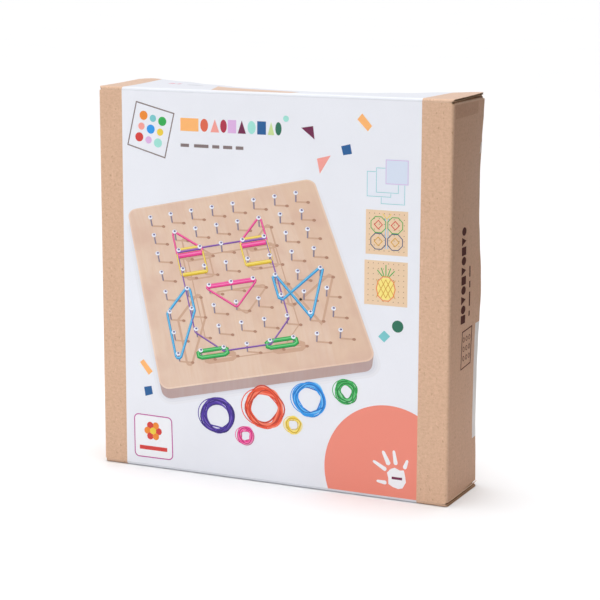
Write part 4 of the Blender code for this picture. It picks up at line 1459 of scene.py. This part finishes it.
def pins():
    """Turned pins with domed heads, a row to a piece."""
    steel, sides = drawn_steel(), 16
    for row in range(PITCHES):
        mesh = MeshBuilder({"steel": steel})
        for column in range(PITCHES):
            x, z = pin_spot(column, row)
            rings = []
            for radius, tip in PIN_PROFILE:
                y = WOOD_FRONT - PIN_STAND + tip * MM
                turns = [FULL_TURN * n / sides for n in range(sides)] if radius else [0.0]
                ring = [(x + radius * MM * math.cos(t), y, z + radius * MM * math.sin(t)) for t in turns]
                rings.append([mesh.point(p, (t * PIN_RADIUS, y)) for p, t in zip(ring, turns)])
            mesh.face(tuple(rings[0]), "steel")
            for ring, after in zip(rings, rings[1:]):
                mesh.join(ring, after, "steel")
        mesh.settle(f"pins_{row + 1}", "pin_steel", "board", f"pin_row_{row + 1}", smooth=50)


def belt(pin_list, turns, radius, run_points=6):
    """The closed path of a band round its pins, with its place along each run (None on a pin)."""
    places = [Vector(pin_spot(*pin)) for pin in pin_list]
    count, runs = len(places), []
    for k in range(count):
        line = places[(k + 1) % count] - places[k]
        along = line.normalized()
        tilt = (turns[k] - turns[(k + 1) % count]) * radius / line.length
        normal = along * tilt + Vector((-along.y, along.x)) * math.sqrt(1 - tilt * tilt)
        first, last = (places[n % count] + normal * radius * turns[n % count] for n in (k, k + 1))
        runs.append((first, last))
    path = []
    for k, place in enumerate(places):
        arrive, leave = runs[k - 1][1] - place, runs[k][0] - place
        start = math.atan2(arrive.y, arrive.x)
        turn = math.atan2(leave.y, leave.x) - start
        turn = -turns[k] * (-turns[k] * turn % FULL_TURN)
        steps = max(1, math.ceil(abs(turn) / math.radians(18)))
        for step in range(steps + 1):
            angle = start + turn * step / steps
            path.append((place + radius * towards(angle), k, None))
        for step in range(1, run_points):
            path.append((runs[k][0].lerp(runs[k][1], step / run_points), k, step / run_points))
    return path


def stretched_bands(rubbers):
    """The bands that run one way round their pins; a thick one is a wrap of several strands."""
    for name, (pin_list, height, drop, thickness) in STRETCHED.items():
        tone = name.split("_")[-1]
        mesh = MeshBuilder({tone: rubbers[tone]})
        radius = PIN_RADIUS + BAND_GAP + thickness * MM / 2
        top_row = min(row for _, row in pin_list)
        thick = thickness > 3
        strands = THICK_STRANDS if thick else [(0.0, 0.0, thickness / 2)]
        for k, (out, up, size) in enumerate(strands):
            path = []
            for place, _, share in belt(pin_list, [1] * len(pin_list), radius + out * MM):
                row = MIDDLE - (place.y - WOOD_CENTRE.z) / PITCH
                level = (height - drop * (row - top_row) + up) * MM
                sway = 0.12 * MM * math.sin(9 * (share or 0.0) + 2 * k) if thick else 0.0
                path.append(Vector((place.x, WOOD_FRONT - level - sway, place.y)))
            tube(mesh, path, size * MM, tone)
        mesh.settle(f"{name}_rubber", f"rubber_{tone}", "board", name, smooth=60)


def crossed_band(rubbers):
    """The band that crosses over itself between four pins."""
    mesh = MeshBuilder({"blue": rubbers["blue"]})
    radius = PIN_RADIUS + BAND_GAP + CROSSED_THICKNESS * MM / 2
    path = []
    for place, run, share in belt(CROSSED_PINS, CROSSED_TURNS, radius, 12):
        crossing = {1: 1, 3: -1}.get(run, 0)
        lift = CROSSED_LIFT * crossing * math.sin(math.pi * (share or 0.0))
        path.append(Vector((place.x, WOOD_FRONT - (CROSSED_HEIGHT + lift) * MM, place.y)))
    tube(mesh, path, CROSSED_THICKNESS * MM / 2, "blue")
    mesh.settle("wing_band_right_blue_rubber", "rubber_blue", "board", "wing_band_right_blue", smooth=60)


def band_bundles(rubbers):
    """Bundles of loose bands, each band a loop that wanders inside the bundle's ring."""
    draw = random.Random(11)
    for tone in BUNDLES:
        node = f"band_bundle_{tone}"
        low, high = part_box(node)
        centre, outer, thick = (low + high) / 2, (high.x - low.x) / 2, (high.y - low.y) / 2
        mesh = MeshBuilder({tone: rubbers[tone]})
        strand, reach = 0.75 * MM, thick - 0.85 * MM
        for _ in range(BUNDLE_LOOPS):
            far = reach * math.sqrt(draw.uniform(0.1, 1.0))
            start, twist = draw.uniform(0, FULL_TURN), draw.choice((-1, 1)) * draw.choice((1, 1, 2))
            path = []
            for k in range(BUNDLE_STEPS):
                angle = FULL_TURN * k / BUNDLE_STEPS
                roll = start + twist * angle
                ring = outer - thick + far * math.cos(roll)
                x, z = centre.x + ring * math.cos(angle), centre.z + ring * math.sin(angle)
                path.append(Vector((x, centre.y + far * math.sin(roll), z)))
            tube(mesh, path, strand, tone, 6)
        mesh.settle(f"{node}_loops", f"rubber_{tone}", "carton", node, smooth=60)


CARD_PATTERNS = {  # lines between grid dots, counted from the card's lower left
    1: (
        ("green", [(1, 4), (2, 5), (3, 5), (4, 4), (3, 3), (2, 3)]),
        ("orange", [(2, 1), (5, 1), (5, 3), (2, 3)]),
    ),
    2: (("red", [(1, 1), (6, 1), (6, 4), (1, 4)]), ("azure", [(1, 4), (6, 4), (3.5, 6.5)])),
    3: (("azure", [(0, 3), (2, 2), (5, 2), (7, 3)]), ("yellow_shade", [(3, 3), (6, 3), (3, 7)])),
    4: (
        ("magenta", [(3, 3), (4, 3), (4, 4), (3, 4)]),
        ("green", [(1, 3), (3, 1), (4, 1), (6, 3), (6, 4), (4, 6), (3, 6), (1, 4)]),
    ),
}


def pattern_card(number, lines, finishes):
    """A card with a printed dot for each pin and lines to copy."""
    node = f"pattern_card_{number}"
    low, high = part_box(node)
    mesh = MeshBuilder(finishes)

    def place(a, b, depth):
        return Vector((a, low.y + depth, b))

    def face(a, b, lift):
        return place(a, b, -lift)

    outline = rounded(four_corners(low.x, high.x, low.z, high.z), [4 * MM] * 4, 6)
    columns = column_places(outline, 20 * MM)
    layer(mesh, outline, columns, 1, (0.0, high.y - low.y), place, "card", "card")
    pitch = (high.x - low.x) * 0.108
    start = Vector(((low.x + high.x) / 2 - MIDDLE * pitch, (low.z + high.z) / 2 - MIDDLE * pitch))
    for k in range(PITCHES * PITCHES):
        centre = start + Vector((k % PITCHES, k // PITCHES)) * pitch
        patch(mesh, disc(centre, 1.3 * MM, 12), 1, "dot", face)
    for tone, points in lines:
        stroke(mesh, [start + Vector(p) * pitch for p in points], 1.8 * MM, 3, tone, True, face)
    mesh.settle(f"{node}_sheet", "card", "cards", node)


def contents():
    rubbers = {name: rubber(name, *value) for name, value in RUBBERS.items()}
    wooden_board()
    pins()
    stretched_bands(rubbers)
    crossed_band(rubbers)
    band_bundles(rubbers)
    finishes = {**INKS, "card": card_paper()}
    for number, lines in CARD_PATTERNS.items():
        pattern_card(number, lines, finishes)
    board = grey_board()
    for node in ("inlay_divider", "edge_spacer_left", "edge_spacer_right"):
        bpy.data.objects[node].material_slots[0].material = board


contents()

# ---------------------------------------------------------------- stage, camera and light

CAMERA_PLACE = Vector((0.56369, -1.17850, 0.37634))
CAMERA_YAW, CAMERA_PITCH, CAMERA_ROLL = 0.43935, 0.187275, 0.0026
CAMERA_LENS = 110.66
SKY = 0.78
SIDE_SHADE = 0.3
FLAG_X = 0.62
FLOOR_REACH = 30.0
FLOOR_COLOUR = (0.86, 0.86, 0.87, 1)


def place_object(name, data, place=(0, 0, 0)):
    """A new object in the scene."""
    obj = bpy.data.objects.new(name, data)
    obj.location = place
    bpy.context.scene.collection.objects.link(obj)
    return obj


def camera():
    data = bpy.data.cameras.new("camera")
    data.lens = CAMERA_LENS
    level = math.cos(CAMERA_PITCH)
    way = Vector((-math.sin(CAMERA_YAW) * level, math.cos(CAMERA_YAW) * level, -math.sin(CAMERA_PITCH)))
    obj = place_object("camera", data, CAMERA_PLACE)
    obj.rotation_mode = "QUATERNION"
    obj.rotation_quaternion = way.to_track_quat("-Z", "Y") @ Quaternion((0, 0, 1), CAMERA_ROLL)
    bpy.context.scene.camera = obj


def area_light(name, place, aim, size, power):
    data = bpy.data.lights.new(name, "AREA")
    data.shape = "RECTANGLE"
    data.size, data.size_y = size
    data.energy = power
    obj = place_object(name, data, place)
    obj.rotation_euler = (Vector(aim) - Vector(place)).to_track_quat("-Z", "Y").to_euler()


def sun():
    """Even light from straight above, so that the floor stays pale far behind the carton."""
    data = bpy.data.lights.new("sky_panel", "SUN")
    data.energy = 2.45
    data.angle = math.radians(40)
    place_object("sky_panel", data)


def backdrop(name, corners, material):
    """A single flat face that belongs to the stage."""
    mesh = bpy.data.meshes.new(name)
    mesh.from_pydata(corners, [], [(0, 1, 2, 3)])
    mesh.materials.append(material)
    obj = place_object(name, mesh)
    return obj


def flag():
    """A dark board out of sight on the right, which shades the carton's side."""
    black = Finish("flag_black", (0.03, 0.03, 0.03, 1), 0.9, 0.0, on_sheet=False)
    corners = [(FLAG_X, y, z) for y, z in four_corners(-0.7, 0.9, 0.0, 1.2)]
    backdrop("studio_flag", corners, black.material).visible_camera = False


def floor():
    pale = Finish("studio_floor", FLOOR_COLOUR, 0.8, 0.1, on_sheet=False)
    pale.tint(pale.noise(3.0, 2), 0.3, 0.7, 1.0, (0.845, 0.845, 0.855, 1))
    corners = four_corners(-FLOOR_REACH, FLOOR_REACH, -FLOOR_REACH, FLOOR_REACH)
    backdrop("studio_floor", [(x, y, 0) for x, y in corners], pale.material)


def world():
    """Pale surroundings, darker overhead and much darker on the right."""
    made = bpy.data.worlds.new("studio")
    made.use_nodes = True
    nodes = Nodes(made.node_tree)
    background = made.node_tree.nodes["Background"]
    way = nodes.add("ShaderNodeTexCoord").outputs["Generated"]
    parts = nodes.add("ShaderNodeSeparateXYZ", {0: way}).outputs
    overhead = nodes.between(parts["Z"], 0.25, 0.8, 1.0, 0.55)
    right = nodes.between(parts["X"], 0.05, 0.6, 1.0, SIDE_SHADE)
    strength = nodes.maths("MULTIPLY", nodes.maths("MULTIPLY", overhead, right), SKY)
    made.node_tree.links.new(strength, background.inputs["Strength"])
    background.inputs["Color"].default_value = (1, 1, 1, 1)
    bpy.context.scene.world = made


camera()
floor()
world()
area_light("key", (0.1, -2.0, 1.4), (0, 0, 0.17), (1.4, 1.4), 8)
area_light("overhead", (0.1, 0.0, 1.5), (0.1, 0, 0), (0.9, 0.9), 3)
sun()
flag()
bpy.context.scene.view_settings.view_transform = "Standard"
